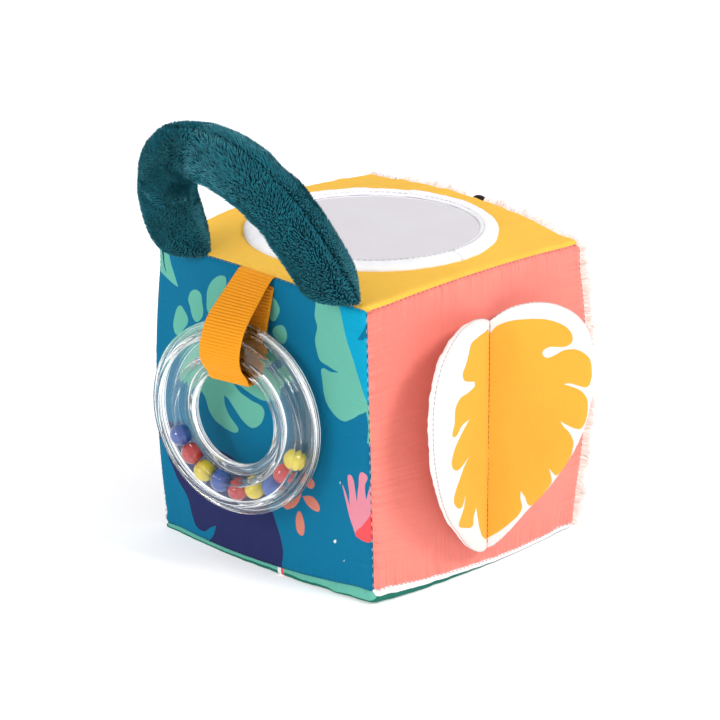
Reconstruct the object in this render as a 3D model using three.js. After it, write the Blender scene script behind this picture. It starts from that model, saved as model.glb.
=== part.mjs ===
// A soft activity cube for a baby: a stuffed fabric cube with a plush arch handle, a clear rattle ring
// on a ribbon, a mirror on top and a padded leaf that folds at its midrib.
// Millimetres, +Z up. The origin is the middle of the flat underside. The ribbon and ring hang in front
// of the -Y face, the leaf is on the +X face and the plush face is +Y.
import * as THREE from 'three';
import { mergeVertices } from 'three/addons/utils/BufferGeometryUtils.js';

// ---- driving dimensions ----
const CORNER_HALF = 61;        // half the cube's edge, measured corner to corner
const SEAM_BOW = 4;            // how far a seam's middle stands out beyond its corners
const CUBE_CENTRE_Z = 65.5;    // height of the cube's middle above the surface it rests on
const COVER = 2.4;             // a cover panel with its wadding
const PILE = 6;                // the plush panel with its pile
const GAP = 0.3;               // clearance between neighbouring pieces
const MITRE = 0.25;            // what a panel's edge is cut back by at a seam
const GRID = 8;                // panel cells along each side

const SEAM_Z = CUBE_CENTRE_Z + CORNER_HALF + SEAM_BOW;    // middle of a top seam
const SEAM_Y = -(CORNER_HALF + SEAM_BOW);                 // middle of a front seam

const MIRROR_SEAT = 67.6;      // height of the top panel's flat middle above the cube's middle
const MIRROR_R = 49.5;
const BINDING_IN_R = 45.5;
const BINDING_OUT_R = 54.4;

const ARCH_HALF = 43.5;          // handle: half the span between its root centres
const ARCH_RISE = 62;          // handle: height of the centreline above its roots, along the lean
const ARCH_LEAN = 28;          // handle: degrees outwards from upright
const TUBE_R = 11;
const TUBE_WALL = 2.6;

const RING_CENTRE = new THREE.Vector3(1.9, -80, 71.5);
const RING_TWIST = 10;         // degrees the ring's face turns from -Y towards +X
const RING_OUT_R = 41.3;
const RING_HOLE_R = 20.5;
const RING_HALF_T = 6.3;
const SHELL_WALL = 1.4;
const OUTER_FLANGE = 3;        // width of the welded rim outside the channel
const INNER_FLANGE = 4.2;
const FLANGE_HALF_T = 1.7;
const BEAD_R = 4.4;
const BEAD_COUNT = 9;
const BEAD_TRACK_R = 31.4;
const BEAD_FIRST = 206;        // degrees round the ring
const BEAD_STEP = 16.5;

const RIBBON_WIDTH = 20;
const RIBBON_X = 1;
const RIBBON_T = 1;

const LEAF_HINGE = new THREE.Vector3(69.9, -1.6, 0);
const LEAF_OPEN = 18.6;        // degrees each half stands off the face
const LEAF_HALF_W = { left: 54, right: 50 };
const LEAF_ROOT = 2.2;
const LEAF_TIP_Z = 9.5;
const LEAF_SIDE_Z = 76;
const LEAF_TOP_Z = 115;
const LEAF_NOTCH = 4.5;        // depth of the dip between the two top lobes
const LEAF_PEAK_W = 24;
const LEAF_SHOULDER = 2.5;      // power of the lobes' outer curve, squarer above 2
const LEAF_FLANK = 1.35;       // powers of the curve from the widest point down to the tip
const LEAF_TAPER = 0.6;
const LEAF_REACH = 0.985;      // share of the half width where the outermost edge stands
const LEAF_FULL_W = 13;        // distance from the hinge where the pad reaches its full thickness

// ---- finishes ----
const finish = (color, roughness, metalness = 0) =>
  new THREE.MeshStandardMaterial({ color, roughness, metalness });
const FABRIC = 0.9;
const paint = {
  blue: finish('#0c7899', FABRIC),
  coral: finish('#f08c80', FABRIC),
  yellow: finish('#fbc556', FABRIC),
  plush: finish('#fbeee9', FABRIC),
  navy: finish('#2b2f5e', FABRIC),
  green: finish('#4f9d90', FABRIC),
  fibre: finish('#f2efe8', FABRIC),
  white: finish('#f6f5f8', FABRIC),
  teal: finish('#155058', FABRIC),
  ribbon: finish('#f0a527', 0.7),
  mirror: finish('#e9e6ec', 0.08, 1),
  film: finish('#dfe3e6', 0.3),
  clear: new THREE.MeshStandardMaterial({
    color: '#eef3f5', roughness: 0.05, transparent: true, opacity: 0.35,
  }),
  beadBlue: finish('#3f67b5', 0.2),
  beadRed: finish('#c42b35', 0.2),
  beadYellow: finish('#f4d23a', 0.2),
  black: finish('#1d1b20', FABRIC),
};

const cube = new THREE.Group();

function addPiece(name, geometry, material, parent = cube) {
  const mesh = new THREE.Mesh(geometry, material);
  mesh.name = name;
  parent.add(mesh);
  return mesh;
}

// Moves every vertex of a geometry with a function of its position.
function reshape(geometry, place) {
  geometry.deleteAttribute('normal');
  geometry.deleteAttribute('uv');
  const merged = mergeVertices(geometry);
  const at = merged.attributes.position;
  const point = new THREE.Vector3();
  for (let i = 0; i < at.count; i++) {
    point.fromBufferAttribute(at, i);
    place(point);
    at.setXYZ(i, point.x, point.y, point.z);
  }
  merged.computeVertexNormals();
  return merged;
}

// A closed ring turned about Z from a closed outline of [radius, z] points.
function turned(outline, segments = 40) {
  const points = outline.map(([r, z]) => new THREE.Vector2(r, z));
  points.push(points[0].clone());
  const geometry = new THREE.LatheGeometry(points, segments);
  geometry.rotateX(Math.PI / 2);
  return reshape(geometry, () => {});
}

// ---- the stuffed cube ----
const crown = (t) => 1 - t * t;

// Distance of a face's surface from the cube's middle; u and v run from -1 to 1 between its seams.
function faceDepth(u, v, swell) {
  return CORNER_HALF + SEAM_BOW * (crown(u) + crown(v)) + swell * crown(u) * crown(v);
}

// A cover panel facing +Z, domed between four bowed seams, with edges mitred to meet its neighbours.
function coverPanel({ swell, thickness = COVER, pile = 0, flatAt = Infinity }) {
  return reshape(new THREE.BoxGeometry(2, 2, 2, GRID, GRID, 1), (p) => {
    const u = p.x;
    const v = p.y;
    const outer = p.z > 0;
    const inset = outer ? MITRE : MITRE + thickness;
    const depth = Math.min(faceDepth(u, v, swell), flatAt);
    p.x = u * (CORNER_HALF + SEAM_BOW * crown(v) - inset);
    p.y = v * (CORNER_HALF + SEAM_BOW * crown(u) - inset);
    p.z = depth + (outer ? pile : -thickness);
  });
}

const SIDE_SWELL = -1.5;       // the side faces are flatter than their seams' bow
const TOP_SWELL = 1;
const faces = [
  { name: 'cover_front_printed', turn: [90, 0, 0], panel: { swell: SIDE_SWELL }, look: paint.blue },
  { name: 'cover_right', turn: [90, 0, 90], panel: { swell: SIDE_SWELL }, look: paint.coral },
  { name: 'cover_back_plush', turn: [90, 0, 180], panel: { swell: SIDE_SWELL, pile: PILE - COVER },
    look: paint.plush },
  { name: 'cover_left', turn: [90, 0, 270], panel: { swell: SIDE_SWELL }, look: paint.navy },
  { name: 'cover_top', turn: [0, 0, 0], panel: { swell: TOP_SWELL, flatAt: MIRROR_SEAT },
    look: paint.yellow },
  { name: 'cover_bottom', turn: [180, 0, 0], panel: { swell: TOP_SWELL, flatAt: CUBE_CENTRE_Z },
    look: paint.green },
];
for (const { name, turn, panel, look } of faces) {
  const mesh = addPiece(name, coverPanel(panel), look);
  const [x, y, z] = turn.map(THREE.MathUtils.degToRad);
  mesh.rotation.set(x, y, z, 'ZYX');
  mesh.position.z = CUBE_CENTRE_Z;
}

// The filling is a block a little smaller than the inside of the covers.
function fillingBlock() {
  const half = CORNER_HALF - COVER - GAP;
  const cells = 4;
  return reshape(new THREE.BoxGeometry(2, 2, 2, cells, cells, cells), (p) => {
    const stretch = (a, b, c) => a * (half + (SEAM_BOW / 2) * (crown(b) + crown(c)));
    p.set(stretch(p.x, p.y, p.z), stretch(p.y, p.x, p.z), stretch(p.z, p.x, p.y));
  });
}
addPiece('cube_filling', fillingBlock(), paint.fibre).position.z = CUBE_CENTRE_Z;

// ---- mirror on the top face ----
const mirror = new THREE.Group();
mirror.position.z = CUBE_CENTRE_Z + MIRROR_SEAT + GAP;
cube.add(mirror);
const PAD_T = 1.5;
const MIRROR_T = 1;
const BINDING_T = 1.2;
const padTop = PAD_T;
const mirrorBottom = padTop + GAP;
const mirrorTop = mirrorBottom + MIRROR_T;
const lipBottom = mirrorTop + GAP;
const lipTop = lipBottom + BINDING_T;

function disc(radius, bottom, top) {
  const geometry = new THREE.CylinderGeometry(radius, radius, top - bottom, 40);
  geometry.rotateX(Math.PI / 2);
  geometry.translate(0, 0, (top + bottom) / 2);
  return geometry;
}
addPiece('mirror_backing_pad', disc(BINDING_OUT_R - BINDING_T - GAP, 0, padTop), paint.fibre, mirror);
addPiece('mirror_disc', disc(MIRROR_R, mirrorBottom, mirrorTop), paint.mirror, mirror);
addPiece('mirror_binding_ring', turned([
  [BINDING_OUT_R - BINDING_T, 0],
  [BINDING_OUT_R, 0],
  [BINDING_OUT_R, lipTop - BINDING_T / 2],
  [BINDING_OUT_R - BINDING_T / 2, lipTop],
  [BINDING_IN_R, lipTop],
  [BINDING_IN_R, lipBottom],
  [BINDING_OUT_R - BINDING_T, lipBottom],
]), paint.white, mirror);

// ---- arch handle ----
// Its own frame has the root line along X and the arch rising along Z; the lean is about the seam.
const handle = new THREE.Group();
handle.position.set(0, SEAM_Y, SEAM_Z);
handle.rotation.x = THREE.MathUtils.degToRad(ARCH_LEAN);
cube.add(handle);
const ROOT_START = 3;          // the pinched roots begin this far from the seam's line
const ROOT_HALF_W = 14.5;
const ROOT_HALF_T = 1.6;
const PINCH_LENGTH = 15;       // height over which a root opens into the round tube
const ARCH_CELLS = 24;
const TUBE_SIDES = 12;

// Half width and half thickness of the sleeve at a height above the seam.
function sleeveSection(height) {
  const open = THREE.MathUtils.smoothstep(height, ROOT_START, ROOT_START + PINCH_LENGTH);
  return {
    wide: THREE.MathUtils.lerp(ROOT_HALF_W, TUBE_R, open),
    thick: THREE.MathUtils.lerp(ROOT_HALF_T, TUBE_R, open),
  };
}

// The sleeve's inside, made smaller by a clearance for what fills it.
function liningSection(height, clearance) {
  const { wide, thick } = sleeveSection(height);
  const wall = Math.min(TUBE_WALL, thick / 2);
  return { wide: wide - wall - clearance, thick: thick - wall - clearance };
}

// Carries a vertex of a straight unit tube, which lies along Z from 0 to 1, onto the arch.
function placeOnArch(p, sectionAt) {
  const angle = Math.PI * p.z;
  const height = ROOT_START + (ARCH_RISE - ROOT_START) * Math.sin(angle);
  const across = new THREE.Vector3(-ARCH_RISE * Math.cos(angle), 0, ARCH_HALF * Math.sin(angle));
  across.normalize();
  const { wide, thick } = sectionAt(height);
  p.set(
    -ARCH_HALF * Math.cos(angle) + across.x * p.x * wide,
    -p.y * thick,
    height + across.z * p.x * wide,
  );
}

function handleSleeve() {
  const outline = new THREE.Shape().absarc(0, 0, 1, 0, 2 * Math.PI);
  outline.holes.push(new THREE.Path().absarc(0, 0, 0.5, 0, 2 * Math.PI));
  const straight = new THREE.ExtrudeGeometry(outline, {
    depth: 1, steps: ARCH_CELLS, curveSegments: TUBE_SIDES / 2, bevelEnabled: false,
  });
  return reshape(straight, (p) => {
    const radius = Math.hypot(p.x, p.y);
    const outside = radius > 0.75;
    p.x /= radius;
    p.y /= radius;
    placeOnArch(p, (height) => (outside ? sleeveSection(height) : liningSection(height, 0)));
  });
}

function handleFilling() {
  const margin = 0.11;         // share of the arch at each root that holds no filling
  const straight = new THREE.CylinderGeometry(1, 1, 1 - 2 * margin, TUBE_SIDES, ARCH_CELLS - 4);
  straight.rotateX(Math.PI / 2);
  straight.translate(0, 0, 0.5);
  return reshape(straight, (p) => placeOnArch(p, (height) => liningSection(height, 3 * GAP)));
}
addPiece('handle_sleeve', handleSleeve(), paint.teal, handle);
addPiece('handle_filling', handleFilling(), paint.fibre, handle);

// ---- rattle ring ----
// Its own frame has the ring's axis along Z, pointing out of the cube, and Y upwards.
const ring = new THREE.Group();
ring.position.copy(RING_CENTRE);
ring.rotation.set(Math.PI / 2, 0, THREE.MathUtils.degToRad(RING_TWIST), 'ZYX');
cube.add(ring);

// Half of the hollow ring: two welded flanges and a channel wall between them.
function ringShell() {
  const join = GAP / 2;
  const outR = RING_OUT_R - OUTER_FLANGE;
  const inR = RING_HOLE_R + INNER_FLANGE;
  const slope = 2;             // how far the channel's walls lean in
  const roof = RING_HALF_T - SHELL_WALL;
  return turned([
    [RING_OUT_R, join],
    [RING_OUT_R, FLANGE_HALF_T],
    [outR, FLANGE_HALF_T],
    [outR - slope / 2, RING_HALF_T - slope],
    [outR - slope * 1.5, RING_HALF_T],
    [inR + slope * 1.5, RING_HALF_T],
    [inR + slope / 2, RING_HALF_T - slope],
    [inR, FLANGE_HALF_T],
    [RING_HOLE_R, FLANGE_HALF_T],
    [RING_HOLE_R, join],
    [inR + SHELL_WALL, join],
    [inR + slope / 2 + SHELL_WALL, roof - slope / 2],
    [inR + slope * 1.5 + SHELL_WALL / 2, roof],
    [outR - slope * 1.5 - SHELL_WALL / 2, roof],
    [outR - slope / 2 - SHELL_WALL, roof - slope / 2],
    [outR - SHELL_WALL, join],
  ]);
}
addPiece('ring_shell_front', ringShell(), paint.clear, ring);
addPiece('ring_shell_rear', ringShell(), paint.clear, ring).rotation.x = Math.PI;

const beadLooks = [paint.beadBlue, paint.beadRed, paint.beadYellow];
for (let i = 0; i < BEAD_COUNT; i++) {
  const angle = THREE.MathUtils.degToRad(BEAD_FIRST + i * BEAD_STEP);
  const radius = BEAD_TRACK_R + (i % 2 ? -0.5 : 0.5);
  const ball = new THREE.SphereGeometry(BEAD_R, 10, 7);
  const bead = addPiece(`rattle_bead_${i + 1}`, reshape(ball, () => {}), beadLooks[i % 3], ring);
  bead.position.set(radius * Math.cos(angle), radius * Math.sin(angle), 0);
}

// ---- ribbon loop ----
// A strip that leaves the seam, passes in front of the ring, under its upper part and back to the seam.
function ribbonLoop() {
  const clear = 1.6;           // from the ring's face to the ribbon's middle
  const tuck = 2.3;            // how far outside the seam's line both ends start
  const dip = 2.6;             // how far the fold hangs below the hole's top
  const above = 8;             // height over the hole's top where a layer stands off fully
  const front = RING_CENTRE.y - RING_HALF_T - clear;
  const back = RING_CENTRE.y + RING_HALF_T + clear;
  const ringTop = RING_CENTRE.z + RING_OUT_R;
  const reach = RIBBON_WIDTH / 2 + Math.abs(RIBBON_X - RING_CENTRE.x);
  const holeTop = RING_CENTRE.z + Math.sqrt(RING_HOLE_R ** 2 - reach ** 2);
  const route = new THREE.CatmullRomCurve3([
    new THREE.Vector3(SEAM_Y - tuck, SEAM_Z - 1.5),
    new THREE.Vector3(RING_CENTRE.y + 1, ringTop + 5),
    new THREE.Vector3(front + 1, ringTop - 3),
    new THREE.Vector3(front, holeTop + above),
    new THREE.Vector3(front + 1.5, holeTop),
    new THREE.Vector3(RING_CENTRE.y, holeTop - dip),
    new THREE.Vector3(back - 1.5, holeTop),
    new THREE.Vector3(back, holeTop + above),
    new THREE.Vector3(back + 0.2, ringTop - 3),
    new THREE.Vector3(SEAM_Y - tuck, SEAM_Z - 6),
    new THREE.Vector3(SEAM_Y - 0.7, SEAM_Z - 3.6),
  ]);
  const steps = 30;
  const edge = [[], []];
  for (let i = 0; i <= steps; i++) {
    const at = route.getPoint(i / steps);
    const along = route.getTangent(i / steps);
    for (const side of [0, 1]) {
      const shift = (side ? 1 : -1) * (RIBBON_T / 2);
      edge[side].push(new THREE.Vector2(at.x - along.y * shift, at.y + along.x * shift));
    }
  }
  const strip = new THREE.ExtrudeGeometry(
    new THREE.Shape([...edge[0], ...edge[1].reverse()]),
    { depth: RIBBON_WIDTH, bevelEnabled: false },
  );
  const twist = Math.tan(THREE.MathUtils.degToRad(RING_TWIST));
  return reshape(strip, (p) => {
    const x = RIBBON_X - RIBBON_WIDTH / 2 + p.z;
    const turnedShare = THREE.MathUtils.smoothstep(SEAM_Z - p.y, 0, SEAM_Z - ringTop);
    p.set(x, p.x + (x - RING_CENTRE.x) * twist * turnedShare, p.y);
  });
}
addPiece('ribbon_loop', ribbonLoop(), paint.ribbon);

// ---- leaf flap ----
// Each half has its own frame: X runs from the midrib to the half's outer edge, Y stands off the cube's
// face and Z is up. A layer lies between two heights off the half's middle surface.
function leafTop(w, halfWidth) {
  if (w < LEAF_PEAK_W) {
    return LEAF_TOP_Z - LEAF_NOTCH * (1 - w / LEAF_PEAK_W) ** 2;
  }
  const share = (w - LEAF_PEAK_W) / (halfWidth - LEAF_PEAK_W);
  return LEAF_SIDE_Z + (LEAF_TOP_Z - LEAF_SIDE_Z) * Math.sqrt(Math.max(0, 1 - share ** LEAF_SHOULDER));
}

function leafBottom(w, halfWidth) {
  const share = Math.min(1, w / halfWidth) ** LEAF_FLANK;
  return LEAF_SIDE_Z - (LEAF_SIDE_Z - LEAF_TIP_Z) * (1 - share) ** LEAF_TAPER;
}

// One layer of a half, as a block whose rows follow the leaf's outline.
function leafLayer(direction, halfWidth, { from, to, start = LEAF_ROOT, margin = 0, columns = 8, rows = 6 }) {
  const reach = (halfWidth - margin) * LEAF_REACH;
  const shortest = 4;          // height of the outermost edge
  return reshape(new THREE.BoxGeometry(1, 1, 1, columns, 1, rows), (p) => {
    const outward = Math.sin(((p.x + 0.5) * Math.PI) / 2);
    const w = THREE.MathUtils.lerp(start, reach, outward);
    const low = leafBottom(w, halfWidth) + margin;
    const high = leafTop(w, halfWidth) - margin;
    const height = Math.max(high - low, shortest);
    const swell = Math.min(1, w / LEAF_FULL_W);
    const facesOut = p.y * direction < 0;
    p.set(w, -direction * (facesOut ? to : from) * swell, (low + high) / 2 + p.z * height);
  });
}

const inner = { start: 9, margin: 3, columns: 6, rows: 5 };
const leafLayers = [
  { part: 'front', look: paint.yellow, layer: { from: 3.3, to: 4.5 } },
  { part: 'wadding', look: paint.fibre, layer: { from: -1.3, to: 3, ...inner } },
  { part: 'crinkle_film', look: paint.film, layer: { from: -2, to: -1.7, ...inner } },
  { part: 'back', look: paint.white, layer: { from: -3.5, to: -2.3 } },
];
for (const [side, direction] of [['left', -1], ['right', 1]]) {
  const half = new THREE.Group();
  half.position.copy(LEAF_HINGE);
  half.rotation.z = direction * THREE.MathUtils.degToRad(90 - LEAF_OPEN);
  cube.add(half);
  for (const { part, look, layer } of leafLayers) {
    addPiece(`leaf_${side}_${part}`, leafLayer(direction, LEAF_HALF_W[side], layer), look, half);
  }
}

// The stitched midrib is a narrow ridge on the cube's face between the two halves.
const SPINE_R = 1.5;
const spineLength = LEAF_TOP_Z - LEAF_NOTCH - LEAF_TIP_Z - 6;
const spine = new THREE.CylinderGeometry(SPINE_R, SPINE_R, spineLength, 8);
spine.rotateX(Math.PI / 2);
addPiece('leaf_midrib', reshape(spine, () => {}), paint.yellow).position.set(
  LEAF_HINGE.x, LEAF_HINGE.y, LEAF_TIP_Z + 3 + spineLength / 2,
);

// ---- small sewn-in pieces ----
function roundedTab(halfWidth, height, thickness) {
  const outline = new THREE.Shape();
  outline.moveTo(-halfWidth, 0);
  outline.lineTo(halfWidth, 0);
  outline.lineTo(halfWidth, height - halfWidth);
  outline.absarc(0, height - halfWidth, halfWidth, 0, Math.PI);
  return new THREE.ExtrudeGeometry(outline, { depth: thickness, curveSegments: 10, bevelEnabled: false });
}
const TAB_X = -3.6;
const TAB_TOP_Z = 132;
const TAB_HEIGHT = 16;
const tab = addPiece('back_tab', reshape(roundedTab(6, TAB_HEIGHT, 2), () => {}), paint.black);
tab.rotation.x = Math.PI / 2;
tab.position.set(TAB_X, -SEAM_Y + PILE + 1.5, TAB_TOP_Z - TAB_HEIGHT);

const LABEL = { thickness: 0.8, length: 24, width: 18 };
addPiece('sewn_in_label', new THREE.BoxGeometry(LABEL.thickness, LABEL.length, LABEL.width), paint.white)
  .position.set(SEAM_Y - 3.2, 50, 39);

export default cube;
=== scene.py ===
import math

import bpy
import numpy as np
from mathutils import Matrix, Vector
from mathutils.geometry import delaunay_2d_cdt


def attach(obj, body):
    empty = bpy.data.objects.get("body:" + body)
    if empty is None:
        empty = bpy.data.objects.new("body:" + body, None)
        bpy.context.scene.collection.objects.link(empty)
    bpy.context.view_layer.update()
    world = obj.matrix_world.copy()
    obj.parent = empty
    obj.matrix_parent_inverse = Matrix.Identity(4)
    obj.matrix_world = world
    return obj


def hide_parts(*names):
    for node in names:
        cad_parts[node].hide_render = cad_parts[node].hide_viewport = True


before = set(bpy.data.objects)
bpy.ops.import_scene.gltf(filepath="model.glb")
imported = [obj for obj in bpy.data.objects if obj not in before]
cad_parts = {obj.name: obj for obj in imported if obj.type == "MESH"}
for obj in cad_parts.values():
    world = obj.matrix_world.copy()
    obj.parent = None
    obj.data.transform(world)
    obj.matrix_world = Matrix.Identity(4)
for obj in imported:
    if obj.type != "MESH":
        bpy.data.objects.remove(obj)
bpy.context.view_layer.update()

# Lengths below are in millimetres; add_mesh turns them into the frame's metres.
MM = 0.001
UV_OFFSET = 200.0     # added to a panel's UV so that it stays positive
HALF_CUT = 65.0       # a panel is cut this far to each side of its middle
CUBE_CENTRE = np.array([0, 0, 65.5])
random = np.random.default_rng(7)


# ---- camera, light and floor ----
def add_camera():
    azimuth, elevation = math.radians(45.13), math.radians(19.64)
    distance, sideways, upward = 1527.6, -4.6, 9.5
    flat = math.cos(elevation)
    back = Vector((math.sin(azimuth) * flat, -math.cos(azimuth) * flat, math.sin(elevation)))
    right = Vector((math.cos(azimuth), math.sin(azimuth), 0))
    up = back.cross(right)
    camera = bpy.data.objects.new("camera", bpy.data.cameras.new("camera"))
    camera.data.lens = 180
    camera.data.sensor_width = 36
    camera.data.clip_end = 50
    camera.location = (Vector(CUBE_CENTRE) + back * distance + right * sideways + up * upward) * MM
    camera.rotation_mode = "QUATERNION"
    camera.rotation_quaternion = (-back).to_track_quat("-Z", "Y")
    bpy.context.scene.collection.objects.link(camera)
    bpy.context.scene.camera = camera


def add_light(name, place, power, size):
    light = bpy.data.objects.new(name, bpy.data.lights.new(name, "AREA"))
    light.data.energy = power
    light.data.size = size
    light.location = place
    light.rotation_mode = "QUATERNION"
    light.rotation_quaternion = (Vector((0, 0, 0.08)) - Vector(place)).to_track_quat("-Z", "Y")
    bpy.context.scene.collection.objects.link(light)


def add_studio():
    scene = bpy.context.scene
    scene.view_settings.view_transform = "Standard"
    world = bpy.data.worlds.new("studio")
    world.use_nodes = True
    background = world.node_tree.nodes["Background"]
    background.inputs["Color"].default_value = (1, 1, 1, 1)
    background.inputs["Strength"].default_value = 0.72
    scene.world = world
    add_light("key", (1.45, 0.28, 1.2), 19, 0.55)
    add_light("front_fill", (-0.2, -1.7, 0.9), 12, 0.8)


# ---- nodes and materials ----
def linear(red, green, blue):
    """A screen colour from 0 to 255 as the shader's linear colour."""
    values = [c / 255 for c in (red, green, blue)]
    return tuple(c / 12.92 if c <= 0.04045 else ((c + 0.055) / 1.055) ** 2.4 for c in values) + (1,)


def toned(colour, factor):
    return tuple(min(1, c * factor) for c in colour[:3]) + (1,)


def node(tree, kind, inputs=None, **properties):
    made = tree.nodes.new("ShaderNode" + kind)
    for name, value in properties.items():
        setattr(made, name, value)
    for name, value in (inputs or {}).items():
        if isinstance(value, bpy.types.NodeSocket):
            tree.links.new(value, made.inputs[name])
        else:
            made.inputs[name].default_value = value
    return made


def maths(tree, operation, a, b=0.0):
    return node(tree, "Math", {0: a, 1: b}, operation=operation).outputs[0]


def times(tree, a, b):
    return maths(tree, "MULTIPLY", a, b)


def plus(tree, a, b):
    return maths(tree, "ADD", a, b)


def new_material(name, settings):
    material = bpy.data.materials.new(name)
    material.use_nodes = True
    shader = material.node_tree.nodes["Principled BSDF"]
    for key, value in settings.items():
        shader.inputs[key].default_value = value
    return material, material.node_tree, shader


def uv_place(tree):
    return node(tree, "UVMap").outputs["UV"]


def stretched_noise(tree, place, scale, detail=3.0):
    """Noise with its own scale along each direction of place."""
    scaled = node(tree, "Mapping", {"Vector": place, "Scale": scale}).outputs[0]
    return node(tree, "TexNoise", {"Vector": scaled, "Scale": 1.0, "Detail": detail}).outputs["Fac"]


def object_noise(tree, scale, detail):
    """Noise in the object's own space, in metres, for a material that needs no UV map."""
    place = node(tree, "TexCoord").outputs["Object"]
    return node(tree, "TexNoise", {"Vector": place, "Scale": scale, "Detail": detail}).outputs["Fac"]


def thread_waves(tree, place, pitch):
    """Height of a plain weave: over and under along both directions."""
    parts = node(tree, "SeparateXYZ", {"Vector": place})
    turns = 2 * math.pi / pitch
    across = maths(tree, "SINE", times(tree, parts.outputs[0], turns))
    along = maths(tree, "SINE", times(tree, parts.outputs[1], turns))
    return times(tree, across, along)


def shade_between(tree, shader, factor, dark, light):
    ramp = node(tree, "ValToRGB", {"Fac": factor})
    ramp.color_ramp.elements[0].color = dark
    ramp.color_ramp.elements[1].color = light
    ramp.color_ramp.elements[0].position = 0.25
    ramp.color_ramp.elements[1].position = 0.75
    tree.links.new(ramp.outputs["Color"], shader.inputs["Base Color"])


def bump(tree, shader, height, distance, strength=1.0):
    made = node(tree, "Bump", {"Height": height, "Distance": distance, "Strength": strength})
    tree.links.new(made.outputs["Normal"], shader.inputs["Normal"])


def gathers(tree, place):
    """Fine gathers that run away from a panel's four sewn sides and fade towards its middle."""
    fade_length = 9.0
    parts = node(tree, "SeparateXYZ", {"Vector": place})
    heights = []
    for across, scale in ((1, (0.5, 0.02, 1)), (0, (0.02, 0.5, 1))):
        folds = stretched_noise(tree, place, scale, 1.5)
        low = maths(tree, "SUBTRACT", parts.outputs[across], UV_OFFSET - HALF_CUT)
        high = maths(tree, "SUBTRACT", UV_OFFSET + HALF_CUT, parts.outputs[across])
        gap = maths(tree, "MINIMUM", low, high)
        fade = maths(tree, "POWER", math.e, maths(tree, "DIVIDE", gap, -fade_length))
        heights.append(times(tree, maths(tree, "SUBTRACT", folds, 0.5), fade))
    return plus(tree, *heights)


def cotton(name, colour, weave=0.42, variation=0.09, sheen=0.0, roughness=0.8, specular=0.12,
           gathered=0.0):
    """Plain-weave cotton. Its UV map is in millimetres of flat cloth, and weave is the threads' pitch."""
    material, tree, shader = new_material(name, {
        "Roughness": roughness, "Sheen Weight": sheen, "Sheen Roughness": 0.4,
        "Specular IOR Level": specular,
    })
    place = uv_place(tree)
    warp = stretched_noise(tree, place, (2.6, 0.22, 1))
    weft = stretched_noise(tree, place, (0.22, 2.6, 1))
    cloud = stretched_noise(tree, place, (0.035, 0.035, 1), 2.0)
    slubs = times(tree, plus(tree, warp, weft), 0.5)
    mixed = plus(tree, times(tree, slubs, 0.65), times(tree, cloud, 0.35))
    waves = times(tree, thread_waves(tree, place, weave), 0.4)
    height = plus(tree, waves, times(tree, slubs, 1.6))
    if gathered:
        folds = gathers(tree, place)
        height = plus(tree, height, times(tree, folds, gathered * 12))
        # the gathers also lighten and darken the colour along their folds: painted highlight and shade
        mixed = plus(tree, mixed, times(tree, folds, gathered * 0.9))
    shade_between(tree, shader, mixed, toned(colour, 1 - variation), toned(colour, 1 + variation))
    bump(tree, shader, height, 0.00012)
    return material


def thread(name, colour):
    """Twisted sewing thread: fine stripes across its length, which is the UV map's first direction."""
    material, tree, shader = new_material(name, {
        "Roughness": 0.5, "Sheen Weight": 0.2, "Specular IOR Level": 0.35,
    })
    parts = node(tree, "SeparateXYZ", {"Vector": uv_place(tree)})
    lay = plus(tree, parts.outputs[0], times(tree, parts.outputs[1], 0.5))
    twist = maths(tree, "SINE", times(tree, lay, 22))
    fuzz = stretched_noise(tree, uv_place(tree), (2, 2, 1))
    # the colour follows the twist's bump, darker in its grooves: painted shade between the plies
    shade_between(tree, shader, plus(tree, times(tree, twist, 0.25), fuzz),
                  toned(colour, 0.8), toned(colour, 1.1))
    bump(tree, shader, twist, 0.00006)
    return material


def pile(name, root, tip, sheen, tint, roughness=0.6):
    """Plush fibres: the UV map holds each tuft's own shade and the place between its root and tip. The
    colour darkens from tip to root: painted shade in the depth of the pile.
    """
    material, tree, shader = new_material(name, {
        "Roughness": roughness, "Sheen Weight": sheen, "Sheen Roughness": 0.35, "Sheen Tint": tint,
        "Specular IOR Level": 0.25,
    })
    parts = node(tree, "SeparateXYZ", {"Vector": uv_place(tree)})
    patches = object_noise(tree, 95.0, 3.0)
    own = times(tree, plus(tree, parts.outputs[0], patches), 0.32)
    # dark at the root, light at the tip: painted shade in the depth of the pile
    shade_between(tree, shader, plus(tree, own, times(tree, parts.outputs[1], 0.42)), root, tip)
    return material


# ---- meshes ----
def add_mesh(name, points, faces, materials, body, index=None, uv=None):
    mesh = bpy.data.meshes.new(name)
    mesh.from_pydata((np.asarray(points) * MM).tolist(), [], faces)
    for material in materials:
        mesh.materials.append(material)
    if index is not None:
        mesh.polygons.foreach_set("material_index", np.asarray(index, dtype=np.int32))
    if uv is not None:
        corners = np.zeros(len(mesh.loops), dtype=np.int32)
        mesh.loops.foreach_get("vertex_index", corners)
        layer = mesh.uv_layers.new(name="UVMap")
        layer.data.foreach_set("uv", np.asarray(uv, dtype=np.float32)[corners].ravel())
    mesh.polygons.foreach_set("use_smooth", np.ones(len(mesh.polygons), dtype=bool))
    mesh.update()
    piece = bpy.data.objects.new(name, mesh)
    bpy.context.scene.collection.objects.link(piece)
    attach(piece, body)
    return piece


def unit(vectors):
    return vectors / np.maximum(np.linalg.norm(vectors, axis=-1, keepdims=True), 1e-9)


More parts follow.
